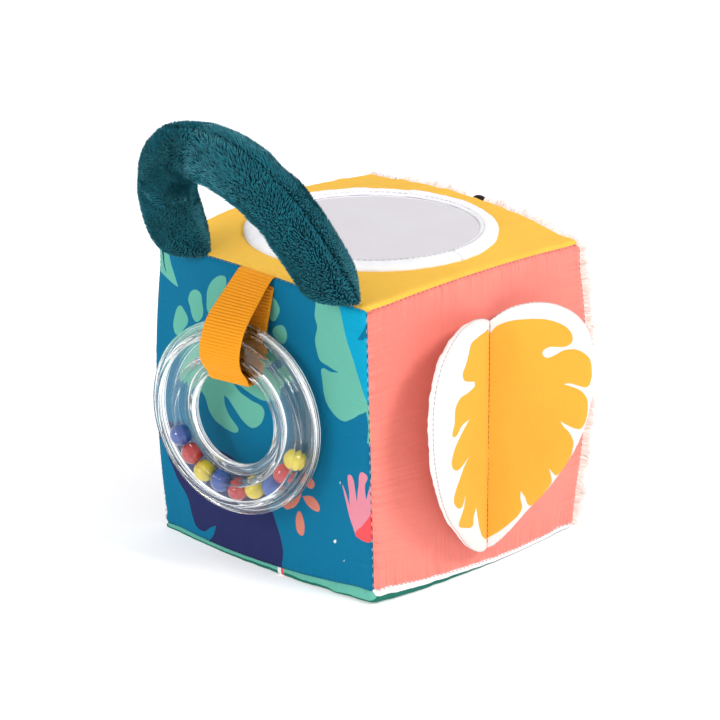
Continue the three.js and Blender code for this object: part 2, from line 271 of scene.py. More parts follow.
def smooth_line(points, step=1.0, closed=True):
    """A smooth line through points of a plane. A third number of 1 makes a point a sharp corner."""
    at = np.array([p[:2] for p in points], float)
    sharp = [len(p) > 2 for p in points]
    count = len(at)
    before, after = np.roll(at, 1, 0), np.roll(at, -1, 0)
    if not closed:
        before[0], after[-1] = at[0], at[-1]
    direction = unit(after - before)
    line = []
    for i in range(count if closed else count - 1):
        j = (i + 1) % count
        chord = at[j] - at[i]
        length = np.linalg.norm(chord)
        if length < 1e-6:
            continue
        leave = chord if sharp[i] else direction[i] * length
        arrive = chord if sharp[j] else direction[j] * length
        for t in np.arange(0, 1, 1 / max(1, round(length / step))):
            line.append(
                (2 * t**3 - 3 * t**2 + 1) * at[i] + (t**3 - 2 * t**2 + t) * leave
                + (3 * t**2 - 2 * t**3) * at[j] + (t**3 - t**2) * arrive
            )
    if not closed:
        line.append(at[-1])
    return np.array(line)


def inside(points, outline):
    """Which points of the plane lie inside a closed outline."""
    x, y = points[:, 0][:, None], points[:, 1][:, None]
    a, b = outline, np.roll(outline, -1, 0)
    crosses = (a[:, 1] > y) != (b[:, 1] > y)
    rise = np.where(np.abs(b[:, 1] - a[:, 1]) < 1e-12, 1e-12, b[:, 1] - a[:, 1])
    left = x < (b[:, 0] - a[:, 0]) * (y - a[:, 1]) / rise + a[:, 0]
    return (crosses & left).sum(1) % 2 == 1


def distance_to(points, outline):
    """Distance from each point to the closed outline's nearest edge."""
    best = np.full(len(points), 1e9)
    for a, b in zip(outline, np.roll(outline, -1, 0)):
        edge = b - a
        t = np.clip(((points - a) @ edge) / max(edge @ edge, 1e-12), 0, 1)
        best = np.minimum(best, np.linalg.norm(points - a - t[:, None] * edge, axis=1))
    return best


def cut_cloth(outer, fill, prints):
    """Triangles of a flat piece of cloth with each triangle's print number: 0 where there is none."""
    loops = [outer] + [line for _, line in prints]
    keep = np.ones(len(fill), dtype=bool)
    for line in loops[1:]:
        gap = np.linalg.norm(fill[:, None] - line[None], axis=2).min(1)
        keep &= gap > 0.35
    points, edges = [], []
    for line in loops:
        first = len(points)
        points += [Vector(p) for p in line]
        edges += [(first + i, first + (i + 1) % len(line)) for i in range(len(line))]
    points += [Vector(p) for p in fill[keep]]
    made = delaunay_2d_cdt(points, edges, [], 0, 1e-4)
    flat = np.array([tuple(p) for p in made[0]])
    faces = np.array([f for f in made[2] if len(f) == 3])
    middles = flat[faces].mean(1)
    within = inside(middles, outer)
    faces, middles = faces[within], middles[within]
    index = np.zeros(len(faces), dtype=np.int32)
    for number, line in prints:
        index[inside(middles, line)] = number
    corners = flat[faces]
    one, two = corners[:, 1] - corners[:, 0], corners[:, 2] - corners[:, 0]
    wrong = one[:, 0] * two[:, 1] - one[:, 1] * two[:, 0] < 0
    faces[wrong] = faces[wrong][:, ::-1]
    return flat, faces, index


def grid_faces(rows, columns, round_rows=False, round_columns=True, flipped=False):
    """Quads over rows of points. A direction that goes round joins its last line to its first."""
    faces = []
    for i in range(rows if round_rows else rows - 1):
        for j in range(columns if round_columns else columns - 1):
            below, beside = (i + 1) % rows * columns, (j + 1) % columns
            face = (i * columns + j, below + j, below + beside, i * columns + beside)
            faces.append((face[0], face[3], face[2], face[1]) if flipped else face)
    return faces


def lathe(profile, segments=144, closed=True):
    """Turns a profile of (radius, height) round the Z axis. Returns points, faces and UV in millimetres."""
    profile = np.array(profile, float)
    angles = np.linspace(0, 2 * math.pi, segments, endpoint=False)
    rows = len(profile)
    points = np.stack([
        np.outer(np.cos(angles), profile[:, 0]),
        np.outer(np.sin(angles), profile[:, 0]),
        np.tile(profile[:, 1], (segments, 1)),
    ], 2).reshape(-1, 3)
    travelled = np.r_[0, np.cumsum(np.linalg.norm(np.diff(profile, axis=0), axis=1))]
    uv = np.stack([
        np.repeat(angles * profile[:, 0].max(), rows),
        np.tile(travelled, segments),
    ], 1)
    return points, grid_faces(segments, rows, True, closed), uv


def rounded(profile, radius=0.3, steps=3):
    """The closed profile with its corners rounded."""
    profile = np.array(profile, float)
    out = []
    for before, at, after in zip(np.roll(profile, 1, 0), profile, np.roll(profile, -1, 0)):
        a, b = before - at, after - at
        cut = min(radius, 0.4 * np.linalg.norm(a), 0.4 * np.linalg.norm(b))
        start, end = at + unit(a) * cut, at + unit(b) * cut
        for t in np.linspace(0, 1, steps + 1):
            out.append((1 - t) ** 2 * start + 2 * t * (1 - t) * at + t * t * end)
    return out


def sweep(paths, radius, sides=6):
    """Thin capped tubes along many paths of the same number of points: paths is (count, points, 3)."""
    paths = np.asarray(paths, float)
    count, rows = paths.shape[:2]
    along = unit(np.gradient(paths, axis=1))
    helper = np.where(np.abs(along[..., 2:3]) > 0.9, [1.0, 0, 0], [0, 0, 1.0])
    side = unit(np.cross(along, helper))
    other = np.cross(along, side)
    turn = np.arange(sides) * 2 * math.pi / sides
    swell = np.sin(np.linspace(0.12, 0.88, rows) * math.pi) ** 0.5 * radius
    ring = side[:, :, None] * np.cos(turn)[:, None] + other[:, :, None] * np.sin(turn)[:, None]
    points = paths[:, :, None] + ring * swell[:, None, None]
    uv = np.stack(np.broadcast_arrays(
        (np.arange(rows) * 0.4)[None, :, None], (np.arange(sides) * 0.3)[None, None, :],
    ), -1)
    uv = np.broadcast_to(uv, (count, rows, sides, 2)).reshape(-1, 2)
    tube = grid_faces(rows, sides, flipped=True)
    tube += [tuple(range(sides))[::-1], tuple(range((rows - 1) * sides, rows * sides))]
    faces = [tuple(n * rows * sides + corner for corner in face) for n in range(count) for face in tube]
    return points.reshape(-1, 3), faces, uv


def two_sided(faces, edge):
    """Faces of a front and a back sheet that share the points of their outline, where edge is zero.

    The second value lists which points of the two sheets, one after the other, the faces use."""
    count = len(edge)
    joined = np.where(edge < 0.01, np.arange(count), np.arange(count) + count)
    every = np.concatenate([faces, joined[faces][:, ::-1]])
    used = np.unique(every)
    slots = np.zeros(2 * count, dtype=int)
    slots[used] = np.arange(len(used))
    return slots[every], used


def tufts(roots, normals, leans, lengths, width):
    """Small bent tapered fibres, one at each root, as points, faces and UV."""
    count = len(roots)
    side = unit(np.cross(normals, leans + 1e-4))
    front = np.cross(side, normals)
    lengths = np.asarray(lengths)[:, None]
    middle = roots + normals * lengths * 0.5 + leans * lengths * 0.22
    tip = roots + normals * lengths * 0.78 + leans * lengths * 0.75
    rings = []
    for centre, size in ((roots - normals * 0.3, width), (middle, width * 0.75)):
        for k in range(3):
            angle = k * 2 * math.pi / 3
            rings.append(centre + (side * math.cos(angle) + front * math.sin(angle)) * size)
    points = np.stack(rings + [tip], 1).reshape(-1, 3)
    pattern = [(3, 4, 1, 0), (4, 5, 2, 1), (5, 3, 0, 2), (6, 4, 3), (6, 5, 4), (6, 3, 5)]
    faces = [tuple(7 * i + corner for corner in face) for i in range(count) for face in pattern]
    own = random.random(count)
    height = np.array([0, 0, 0, 0.6, 0.6, 0.6, 1.0])
    uv = np.stack([np.repeat(own, 7), np.tile(height, count)], 1)
    return points, faces, uv


# ---- the stuffed cube's surface ----
CORNER_HALF = 61.0
SEAM_BOW = 4.0
SIDE_SWELL = -1.5
TOP_SWELL = 1.0
MIRROR_BASE = 133.4   # height of the cloth that the mirror is sewn on
PLUSH_LIFT = 0.8      # how far the plush back's cloth lies above the plain surface
SIM_CELLS = 40
SIM_FRAMES = 20
CLOTH = {
    "quality": 6, "mass": 0.2, "tension_stiffness": 25, "compression_stiffness": 25, "shear_stiffness": 10,
    "bending_stiffness": 0.15, "use_pressure": True, "uniform_pressure_force": 4.0,
    "vertex_group_shrink": "seams", "shrink_max": 0.07, "shrink_min": -0.03,
}
# each face's right, up and outward directions, its middle's extra swell, and how far it may stand out
FACES = {
    "front": ((1, 0, 0), (0, 0, 1), (0, -1, 0), SIDE_SWELL, 99),
    "right": ((0, 1, 0), (0, 0, 1), (1, 0, 0), SIDE_SWELL, 99),
    "back": ((-1, 0, 0), (0, 0, 1), (0, 1, 0), SIDE_SWELL, 99),
    "left": ((0, -1, 0), (0, 0, 1), (-1, 0, 0), SIDE_SWELL, 99),
    "top": ((1, 0, 0), (0, 1, 0), (0, 0, 1), TOP_SWELL, 67.3),
    "bottom": ((1, 0, 0), (0, -1, 0), (0, 0, -1), TOP_SWELL, 65.2),
}
CORNER_SHIFTS = {     # how far a corner of the sewn cube sits from a true cube's
    (1, -1, 1): (-1.1, -1.1, 0.0), (1, -1, -1): (1.0, 1.0, 2.4), (-1, -1, 1): (-0.9, -0.9, 1.0),
    (-1, -1, -1): (-0.7, -0.7, -2.4), (1, 1, -1): (-0.5, -0.5, -2.8), (-1, 1, 1): (0, 0, 4.5),
    (1, 1, 1): (0, 0, 0.5),
}
EDGE_SHIFTS = {       # the same for the middle of an edge: 0 marks the direction that the edge runs
    (-1, -1, 0): (1.3, 1.3, 0), (0, -1, -1): (0, 0, 1.5), (1, 0, -1): (0, 0, 1.3), (-1, 0, -1): (0, 0, 1.3),
}
ROLL_OUT = 1.9        # how steeply the bottom panel bulges out beside its seams
ROLL_DOWN = 4.25      # how far it sinks below them


def crown(t):
    return 1 - np.clip(t, -1, 1) ** 2


def face_frame(face, flat):
    """The plain stuffed surface of a face at flat panel places, and the same places on a unit cube."""
    right, up, out, swell, furthest = (np.array(x, float) for x in FACES[face])
    u, v = flat[:, 0] / HALF_CUT, flat[:, 1] / HALF_CUT
    depth = CORNER_HALF + SEAM_BOW * (crown(u) + crown(v)) + swell * crown(u) * crown(v)
    depth = furthest - np.logaddexp(0, (furthest - depth) / 0.6) * 0.6
    x = u * (CORNER_HALF + SEAM_BOW * crown(v))
    y = v * (CORNER_HALF + SEAM_BOW * crown(u))
    plain = x[:, None] * right + y[:, None] * up + depth[:, None] * out
    return plain, u[:, None] * right + v[:, None] * up + out


def rounded_normal(q):
    """Outward direction that turns smoothly over the cube's edges."""
    return unit(np.sign(q) * np.abs(q) ** 9)


def corner_shift(q):
    shift = np.zeros_like(q)
    for corner, move in CORNER_SHIFTS.items():
        weight = np.prod((1 + q * np.array(corner)) / 2, axis=1)
        shift += weight[:, None] * np.array(move)
    for edge, move in EDGE_SHIFTS.items():
        sides = np.array(edge)
        weight = np.prod(np.where(sides == 0, crown(q), ((1 + q * sides) / 2) ** 2), axis=1)
        shift += weight[:, None] * np.array(move)
    return shift


def hanging_roll(face, flat, plain):
    """The bottom panel bulges out and down below its seams before it turns under the cube."""
    if face != "bottom":
        return plain
    at = plain.copy()
    for axis, side in ((0, 1), (0, -1), (1, 1)):
        gap = HALF_CUT - side * flat[:, axis]
        fade = np.clip((HALF_CUT - np.abs(flat[:, 1 - axis])) / 4, 0, 1)
        out = ROLL_OUT * gap * np.exp(-gap / 3.6) * fade
        at[:, axis] += out * (side if axis == 0 else -side)
        at[:, 2] -= ROLL_DOWN * (1 - np.exp(-gap / 5)) * np.exp(-gap / 30) * fade
    return at


def seam_distance(q):
    """Distance from each point to the cube's nearest seam, in millimetres."""
    gap = np.sort(1 - np.abs(q), axis=1)
    return gap[:, 1] * HALF_CUT


def seam_groove(q, depth=1.3, width=1.6):
    """Both cloths roll in towards the stitched line and puff out beside it."""
    move = np.zeros_like(q)
    for a, b in ((0, 1), (1, 2), (0, 2)):
        gap = np.hypot(1 - np.abs(q[:, a]), 1 - np.abs(q[:, b])) * HALF_CUT
        share = depth * (np.exp(-((gap / width) ** 2)) - 0.85 * np.exp(-((gap / 6) ** 2))) / math.sqrt(2)
        move[:, a] -= share * np.sign(q[:, a])
        move[:, b] -= share * np.sign(q[:, b])
    return move


def smooth_steps(values, period, seed):
    """Repeatable smooth random wave along values, between -1 and 1."""
    table = np.random.default_rng(seed).uniform(-1, 1, 512)
    place = np.asarray(values) / period + 200
    low = np.floor(place).astype(int)
    t = place - low
    t = t * t * (3 - 2 * t)
    return table[low % 512] * (1 - t) + table[(low + 1) % 512] * t


def puckers(q):
    """Fine gathers that run away from the seams, and soft dents of the stuffing."""
    near = seam_distance(q)
    total = np.zeros(len(q))
    for axis in range(3):
        others = [k for k in range(3) if k != axis]
        gap = np.hypot(1 - np.abs(q[:, others[0]]), 1 - np.abs(q[:, others[1]])) * HALF_CUT
        seam = np.sign(q[:, others[0]]) * 3 + np.sign(q[:, others[1]]) * 7
        along = q[:, axis] * HALF_CUT + seam * 170
        fine = smooth_steps(along, 2.6, 11 + axis) * np.exp(-gap / 5.0)
        broad = smooth_steps(along, 5.5, 31 + axis) * np.exp(-gap / 14.0)
        total += 0.22 * fine + 0.38 * broad
    return total * (1 - np.exp(-((near / 1.2) ** 2)))


class Stuffing:
    """Wrinkles of the stuffed cube, from a pressure cloth simulation of its closed cover."""

    def __init__(self):
        self.cells = SIM_CELLS
        self.grids = {}
        keys = {}
        corners = []
        for face in FACES:
            right, up, out = (np.array(x) for x in FACES[face][:3])
            grid = np.zeros((self.cells + 1, self.cells + 1), dtype=int)
            for i in range(self.cells + 1):
                for j in range(self.cells + 1):
                    q = (2 * i - self.cells) * right + (2 * j - self.cells) * up + self.cells * out
                    key = tuple(q.astype(int))
                    if key not in keys:
                        keys[key] = len(keys)
                        corners.append(key)
                    grid[i, j] = keys[key]
            self.grids[face] = grid
        self.q = np.array(corners, float) / self.cells
        self.detail = np.zeros_like(self.q)

    def start_shape(self):
        shape = np.zeros_like(self.q)
        places = np.linspace(-HALF_CUT, HALF_CUT, self.cells + 1)
        flat = np.stack(np.meshgrid(places, places, indexing="ij"), -1).reshape(-1, 2)
        for face, grid in self.grids.items():
            shape[grid.ravel()] = face_frame(face, flat)[0]
        return shape

    def faces(self):
        found = []
        for grid in self.grids.values():
            quads = np.stack([grid[:-1, :-1], grid[1:, :-1], grid[1:, 1:], grid[:-1, 1:]], -1)
            found += quads.reshape(-1, 4).tolist()
        return found

    def simulate(self, furthest=4.0):
        start = self.start_shape() * 0.985
        faces = self.faces()
        mesh = bpy.data.meshes.new("cover_simulation")
        shake = smooth_steps(np.arange(len(start)) * 1.0, 1.0, 5)[:, None]
        shaken = start * MM + rounded_normal(self.q) * MM * 0.25 * shake
        mesh.from_pydata(shaken.tolist(), [], faces)
        cover = bpy.data.objects.new("cover_simulation", mesh)
        bpy.context.scene.collection.objects.link(cover)
        seams = cover.vertex_groups.new(name="seams")
        near = seam_distance(self.q)
        seams.add([int(i) for i in np.where(near < 1.0)[0]], 1.0, "REPLACE")
        cloth = cover.modifiers.new("cloth", "CLOTH")
        for name, value in CLOTH.items():
            setattr(cloth.settings, name, value)
        cloth.settings.effector_weights.gravity = 0
        cloth.collision_settings.use_collision = False
        cloth.collision_settings.use_self_collision = False
        scene = bpy.context.scene
        scene.frame_start, scene.frame_end = 1, SIM_FRAMES
        for step in range(1, SIM_FRAMES + 1):
            scene.frame_set(step)
        stuffed = cover.evaluated_get(bpy.context.evaluated_depsgraph_get())
        end = np.zeros(len(start) * 3)
        stuffed.data.vertices.foreach_get("co", end)
        end = end.reshape(-1, 3) / MM
        bpy.data.objects.remove(cover)
        scene.frame_set(1)
        move = end - start
        reach = np.linalg.norm(move, axis=1, keepdims=True)
        print("cover simulation moved its points by", float(reach.mean()), float(reach.max()), "mm")
        self.detail = self.wrinkles(move, faces) * np.minimum(1, furthest / np.maximum(reach, 1e-6))

    def wrinkles(self, move, faces, rounds=60, cap=1.5):
        """The part of the movement that differs from point to point, without the overall swelling."""
        quads = np.array(faces)
        pairs = np.concatenate([quads[:, [k, (k + 1) % 4]] for k in range(4)])
        pairs = np.concatenate([pairs, pairs[:, ::-1]])
        count = np.bincount(pairs[:, 0], minlength=len(move))[:, None]
        broad = move.copy()
        for _ in range(rounds):
            total = np.zeros_like(broad)
            np.add.at(total, pairs[:, 0], broad[pairs[:, 1]])
            broad = 0.5 * broad + 0.5 * total / count
        fine = move - broad
        size = np.linalg.norm(fine, axis=1, keepdims=True)
        return fine * np.minimum(1, cap / np.maximum(size, 1e-6))

    def at(self, face, flat):
        """The wrinkles at flat places of a panel."""
        grid = self.grids[face]
        place = np.clip((flat / HALF_CUT + 1) / 2 * self.cells, 0, self.cells - 1e-6)
        i, j = place[:, 0].astype(int), place[:, 1].astype(int)
        s, t = (place[:, 0] - i)[:, None], (place[:, 1] - j)[:, None]
        s, t = s * s * (3 - 2 * s), t * t * (3 - 2 * t)
        d = self.detail
        return (
            d[grid[i, j]] * (1 - s) * (1 - t) + d[grid[i + 1, j]] * s * (1 - t)
            + d[grid[i, j + 1]] * (1 - s) * t + d[grid[i + 1, j + 1]] * s * t
        )


stuffing = Stuffing()
stuffing.simulate()


def on_cube(face, flat, lift=0.0, groove=True):
    """Places on the finished cube for flat places of a panel, raised by lift."""
    plain, q = face_frame(face, flat)
    normal = rounded_normal(q)
    at = hanging_roll(face, flat, plain) + corner_shift(q) + normal * (puckers(q) + lift)[:, None]
    at = at + stuffing.at(face, flat)
    if groove:
        at = at + seam_groove(q)
    at = at + CUBE_CENTRE
    if face == "top":
        held = MIRROR_BASE + np.clip(np.hypot(at[:, 0], at[:, 1]) - 50, 0, 40) ** 1.5 * 0.3
        at[:, 2] = held - np.logaddexp(0, (held - at[:, 2]) / 0.25) * 0.25
    low = at[:, 2] < 1.0
    at[low, 2] = np.maximum(np.exp(np.minimum(at[low, 2] - 1.0, 0)), 0.02)
    return at


def graded(near=0.55, far=1.6):
    """Places from one side of a panel to the other, closer together by the seams."""
    half, step, place = [], near, 0.0
    while place < HALF_CUT:
        half.append(place)
        place += step
        step = min(far, step * 1.16)
    half = np.array(half) * (HALF_CUT / place)
    return np.unique(np.round(np.r_[half - HALF_CUT, 0, HALF_CUT - half], 4))


def border(places):
    """The panel's cut edge, through the same places on all four sides."""
    low, high = -HALF_CUT, HALF_CUT
    line = [(x, low) for x in places[:-1]] + [(high, y) for y in places[:-1]]
    line += [(x, high) for x in places[:0:-1]] + [(low, y) for y in places[:0:-1]]
    return np.array(line)


def panel(name, face, prints, materials, replaced, lift=0.0):
    """One sewn cover panel of the cube, with its print cut into the mesh."""
    places = graded()
    inner = places[1:-1]
    fill = np.stack(np.meshgrid(inner, inner, indexing="ij"), -1).reshape(-1, 2)
    lines = []
    for number, points in prints:
        line = np.clip(smooth_line(points, 1.2), -HALF_CUT + 0.01, HALF_CUT - 0.01)
        lines.append((number, line))
    flat, faces, index = cut_cloth(border(places), fill, lines)
    from_edge = distance_to(flat, border(places)[::12])
    points = on_cube(face, flat, lift * (1 - np.exp(-from_edge / 3)))
    piece = add_mesh(name, points, faces.tolist(), materials, "cube", index, flat + UV_OFFSET)
    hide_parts(*replaced)


# ---- colours ----
BLUE = linear(2, 112, 150)
MINT = linear(103, 183, 163)
NAVY = linear(38, 44, 92)
CYAN = linear(0, 160, 198)
SPRIG = linear(212, 128, 108)
PINK = linear(226, 140, 158)
RED = linear(232, 84, 90)
CORAL = linear(247, 128, 113)
YELLOW = linear(255, 196, 78)
ORANGE = linear(247, 170, 60)
WHITE = linear(244, 242, 242)
# the bottom cloth's green, made darker to match the shade below the bottom seam: its own colour with
# painted shade in it
GREEN = linear(34, 112, 98)


def sewing():
    """Thread materials by name."""
    return {
        "white": thread("thread_white", linear(206, 200, 198)),
        "pale": thread("thread_pale", linear(238, 236, 240)),
        "navy": thread("thread_navy", linear(40, 50, 90)),
        "brown": thread("thread_brown", linear(196, 120, 40)),
        "coral": thread("thread_coral", linear(200, 92, 78)),
        "green": thread("thread_green", linear(36, 108, 96)),
        "orange": thread("thread_orange", linear(178, 106, 30)),
    }


threads = sewing()


# ---- the front panel's print, in millimetres from the panel's middle ----
MONSTERA = [
    (-38, 32), (-46.5, 25), (-48, 14.5), (-45, 7.5), (-37, 6), (-32, 4), (-30, 0), (-26.5, -5), (-19, -7.5),
    (-11, -8), (-8, -6), (-10.5, -3.5), (-14.5, -0.5), (-17, 3), (-17.5, 6.5, 1), (-13.5, 5), (-9, 1.5),
    (-5, -1.5), (0, -3), (5, 0), (7.5, 5), (6, 7.5), (0, 8.5), (-7, 10.5), (-12, 14, 1), (-5, 12.5),
    (3, 10.5), (8, 10.5), (15, 13.5), (17, 18), (14, 23), (8, 25, 1), (12.5, 28.5), (15.5, 33), (4.5, 36.5),
    (-0.5, 40.5), (-11, 41), (-23, 38), (-30.5, 36),
]
PETALS = [
    [(-29, 40), (-30.5, 46.5), (-29.5, 52), (-25, 56.5), (-19, 58), (-18, 55), (-21.5, 47.5), (-23.5, 40)],
    [
        (-41.5, 40.5), (-43, 43), (-41.5, 47), (-38, 48.5), (-34.5, 47.5), (-33.5, 44.5), (-32.5, 38.5),
        (-36.5, 34.5), (-39.5, 36),
    ],
    [
        (-50.5, 26), (-53, 29.5), (-52.5, 33.5), (-51, 37.5), (-48.5, 39.5), (-45.5, 38), (-42.5, 34),
        (-45.5, 29.5),
    ],
    [(8.5, 56.5), (13, 55.5), (15.5, 52.5), (15, 49.5), (12, 46), (9, 48)],
    [(11.5, 41.5), (17, 45.5), (20, 42.5), (18.5, 38), (15.5, 38)],
    [(15.5, 26), (21, 30), (24.5, 27.5), (23, 23), (17.5, 20.5)],
]
TALL_LEAF = [
    (37.5, 65), (37, 60), (36, 54.5), (37.5, 50), (36, 44.5), (37.5, 38), (39, 36), (43.5, 35), (49, 34, 1),
    (44.5, 33), (39.5, 33), (39.5, 29), (41.5, 20), (45.5, 15), (50.5, 13), (55, 15), (59.5, 18.5),
    (64, 22.5), (62, 29), (58, 39), (53.5, 49.5), (51.5, 57), (48.5, 65),
]
CYAN_LEAF = [
    (48, 65), (51.5, 57), (53.5, 49.5), (58, 39), (62, 29), (64.5, 22.5), (65, 13.5), (65, 11.5), (65, 65),
]
CYAN_SPRIG = [(65, 60, 1), (63, 57), (59.5, 51.5, 1), (62.5, 52.5), (65, 55, 1)]
MINT_SLIVER = [(63, 22.5, 1), (65, 24), (65, 6.5, 1), (63.2, 6.5, 1), (64, 14.5)]
TOP_LEAF = [
    (-64.5, 65, 1), (-58.5, 65, 1), (-57.5, 59.5), (-54, 53), (-50.5, 47.5, 1), (-55, 48.5), (-61, 51.5),
    (-65, 55.5),
]
TOP_LEAF_VEIN = [(-62.5, 65, 1), (-61, 65, 1), (-60.5, 57.5), (-59, 52, 1), (-60.5, 55)]
TOP_SLIVER = [(-53.5, 65, 1), (-37.5, 65, 1), (-37, 63.5, 1), (-42.5, 63.5), (-48.5, 64)]
SEA_BED = [
    (-65, -17), (-59.5, -30), (-54, -40.5), (-47.5, -47.5), (-45, -55), (-42.5, -59.5), (-37.5, -60.5),
    (-32.5, -57.5), (-28.5, -55.5, 1), (-30.5, -60), (-35.5, -65, 1), (-4, -65), (13, -65, 1), (14, -56.5),
    (12, -47), (8.5, -38), (2, -26), (-12, -20), (-31, -18), (-46, -14.5),
]
SPRIG_PETALS = [
    [(27, -19.5), (29.5, -15.5), (32, -17), (34, -20), (32, -22.5), (28.5, -21.5)],
    [(16, -35), (18, -31), (22, -28), (26.5, -26, 1), (24.5, -30.5), (21, -34)],
    [(27, -27, 1), (32.5, -26), (36, -29), (36, -32), (32.5, -32), (29, -30)],
    [(25, -34.5), (27, -38.5), (27.5, -42.5), (26, -46), (23.5, -45), (22.5, -41.5), (23, -37)],
]
CORAL_HAND = [
    (49.5, -16.5), (51, -19.5), (53, -25.5, 1), (53, -18.5), (52.5, -11.5), (54.5, -11), (56, -15.5),
    (57, -23, 1), (58, -15.5), (59.5, -8), (63, -9), (61.5, -13.5), (62, -20.5, 1), (64.5, -12), (65, -9.5),
    (65, -26), (60.5, -36.5), (56.5, -39), (54.5, -35.5), (52.5, -30), (51, -23.5),
]
CORAL_FOOT = [
    (55.5, -38.5), (59.5, -33.5), (65, -25.5), (65, -24, 1), (65, -39.5, 1), (63, -41), (58, -40.5),
]
CORNER_BIT = [(-65, -52), (-62.6, -57), (-64, -62), (-65, -63)]
SPECKS = [
    [(43.5, -45), (45, -43.5), (44.5, -45.5)],
    [(48, -16), (48.5, -15), (48.5, -16.5)],
    [(48.5, -53.5), (49.5, -52.5), (49, -53.5)],
]


def front_prints():
    prints = [(1, MONSTERA)] + [(1, p) for p in PETALS]
    prints += [(3, CYAN_LEAF), (0, CYAN_SPRIG), (1, TALL_LEAF), (1, MINT_SLIVER)]
    prints += [(1, TOP_LEAF), (2, TOP_LEAF_VEIN), (1, TOP_SLIVER), (2, SEA_BED)]
    prints += [(4, p) for p in SPRIG_PETALS] + [(5, CORAL_HAND), (6, CORAL_FOOT), (7, CORNER_BIT)]
    prints += [(7, p) for p in SPECKS]
    return prints


def add_covers():
    blue = cotton("cotton_blue", BLUE, gathered=0.6)
    mint = cotton("cotton_mint", MINT, gathered=0.6)
    navy = cotton("cotton_navy", NAVY, gathered=0.6)
    cyan = cotton("cotton_cyan", CYAN, gathered=0.6)
    sprig = cotton("cotton_sprig", SPRIG)
    pink, red = cotton("cotton_pink", PINK), cotton("cotton_red", RED)
    white = cotton("cotton_white", WHITE, variation=0.03)
    coral = cotton("cotton_coral", CORAL, variation=0.13, sheen=0.22, specular=0.5, roughness=0.45,
                   gathered=1.5)
    yellow = cotton("cotton_yellow", YELLOW, gathered=0.5)
    green = cotton("cotton_green", GREEN, gathered=0.6)
    panel("cover_front", "front", front_prints(), [blue, mint, navy, cyan, sprig, pink, red, white],
          ["cover_front_printed"])
    edge = [(-65, -65, 1), (65, -65, 1), (65, -63.9, 1), (0, -63.6), (-65, -64, 1)]
    panel("cover_right_side", "right", [(1, edge)], [coral, white], ["cover_right"])
    panel("cover_top_face", "top", [], [yellow], ["cover_top", "cube_filling"])
    panel("cover_left_side", "left", [], [navy], ["cover_left"])
    front_strip = [(-65, 65, 1), (65, 65, 1), (65, 62, 1), (20, 63.9), (-20, 64.2), (-65, 64.2, 1)]
    right_strip = [(65, -65, 1), (65, 65, 1), (63.6, 65, 1), (64, 20), (63.8, -20), (63.8, -65, 1)]
    white_mark = [(10, 65, 1), (12, 65, 1), (14.5, 61, 1), (12.5, 61, 1)]
    red_mark = [(12, 65, 1), (13.4, 65, 1), (16, 61, 1), (14.5, 61, 1)]
    bottom_prints = [(1, front_strip), (2, right_strip), (2, white_mark), (3, red_mark)]
    panel("cover_bottom_face", "bottom", bottom_prints, [green, mint, white, red],
          ["cover_bottom"])
    fleece = cotton("plush_backing", linear(250, 240, 236), variation=0.03)
    panel("cover_back_base", "back", [], [fleece], ["cover_back_plush"],
          lift=PLUSH_LIFT)


# ---- stitches along the cube's seams ----
STITCH_STEPS = np.linspace(0, 1, 5)                 # places along one stitch
STITCH_ARCH = np.sin(STITCH_STEPS * math.pi)        # and how it rises between its two ends


def seam_points(side, places):
    """Flat places along one side of a face."""
    edge = np.full(len(places), HALF_CUT)
    return np.stack({
        "top": (places, edge), "bottom": (places, -edge), "right": (edge, places), "left": (-edge, places),
    }[side], 1)


def stitch_row(name, face, side, colours, slot, pitch, length, lift, inset=0.5, lean=0.25):
    """One row of stitches beside a seam; the colours alternate."""
    starts = np.arange(-HALF_CUT + 3, HALF_CUT - 3, pitch)
    paths = []
    for number, start in enumerate(starts):
        flat = seam_points(side, start + STITCH_STEPS * length)
        inward = -np.sign(flat) * (np.abs(flat) >= HALF_CUT)
        sway = inset + lean * (STITCH_STEPS - 0.5) * (1 if number % 2 else -1)
        flat = flat + inward * sway[:, None]
        paths.append(on_cube(face, flat, lift + STITCH_ARCH * 0.2 - 0.1))
    points, faces, uv = sweep(paths, 0.17)
    per = len(faces) // len(paths)
    index = np.repeat(np.arange(len(paths)) % len(colours), per)
    add_mesh(name, points, faces, [threads[c] for c in colours], "cube", index, uv)


# each row's face and side, its threads, its slot, and the stitches' pitch, length and lift
STITCH_ROWS = {
    "front_right": ("front", "right", ["white", "navy"], "cotton_blue", 2.1, 1.5, 0.15),
    "front_top": ("front", "top", ["brown"], "cotton_yellow", 2.6, 1.2, 0.15),
    "right_top": ("right", "top", ["coral"], "cotton_coral", 2.4, 1.3, 0.05),
    "right_back": ("right", "right", ["coral"], "cotton_coral", 2.4, 1.3, 0.05),
    "right_bottom": ("right", "bottom", ["coral"], "cotton_coral", 2.4, 1.2, 0),
    "front_bottom": ("front", "bottom", ["green"], "cotton_green", 2.4, 1.3, 0),
    "front_left": ("front", "left", ["navy"], "cotton_blue", 2.4, 1.3, 0),
    "left_top": ("left", "top", ["brown"], "cotton_yellow", 2.6, 1.2, 0.15),
    "left_bottom": ("left", "bottom", ["green"], "cotton_green", 2.4, 1.3, 0),
    "back_left": ("left", "left", ["white"], "cotton_navy", 2.4, 1.3, 0),
}


def add_stitches():
    for name, row in STITCH_ROWS.items():
        stitch_row("stitches_" + name, *row)


# ---- plush back ----
TAB_PLACE = (-3.6, 70.5, 124.4)       # the black tab stands out of the plush here


def scatter(width, height, spacing):
    """Evenly spread places over a rectangle, in rows that are shaken a little."""
    across, up = np.arange(-width, width, spacing), np.arange(-height, height, spacing)
    places = np.stack(np.meshgrid(across, up, indexing="ij"), -1)
    places[:, ::2, 0] += spacing / 2
    places = places.reshape(-1, 2)
    return places + random.uniform(-0.42, 0.42, places.shape) * spacing


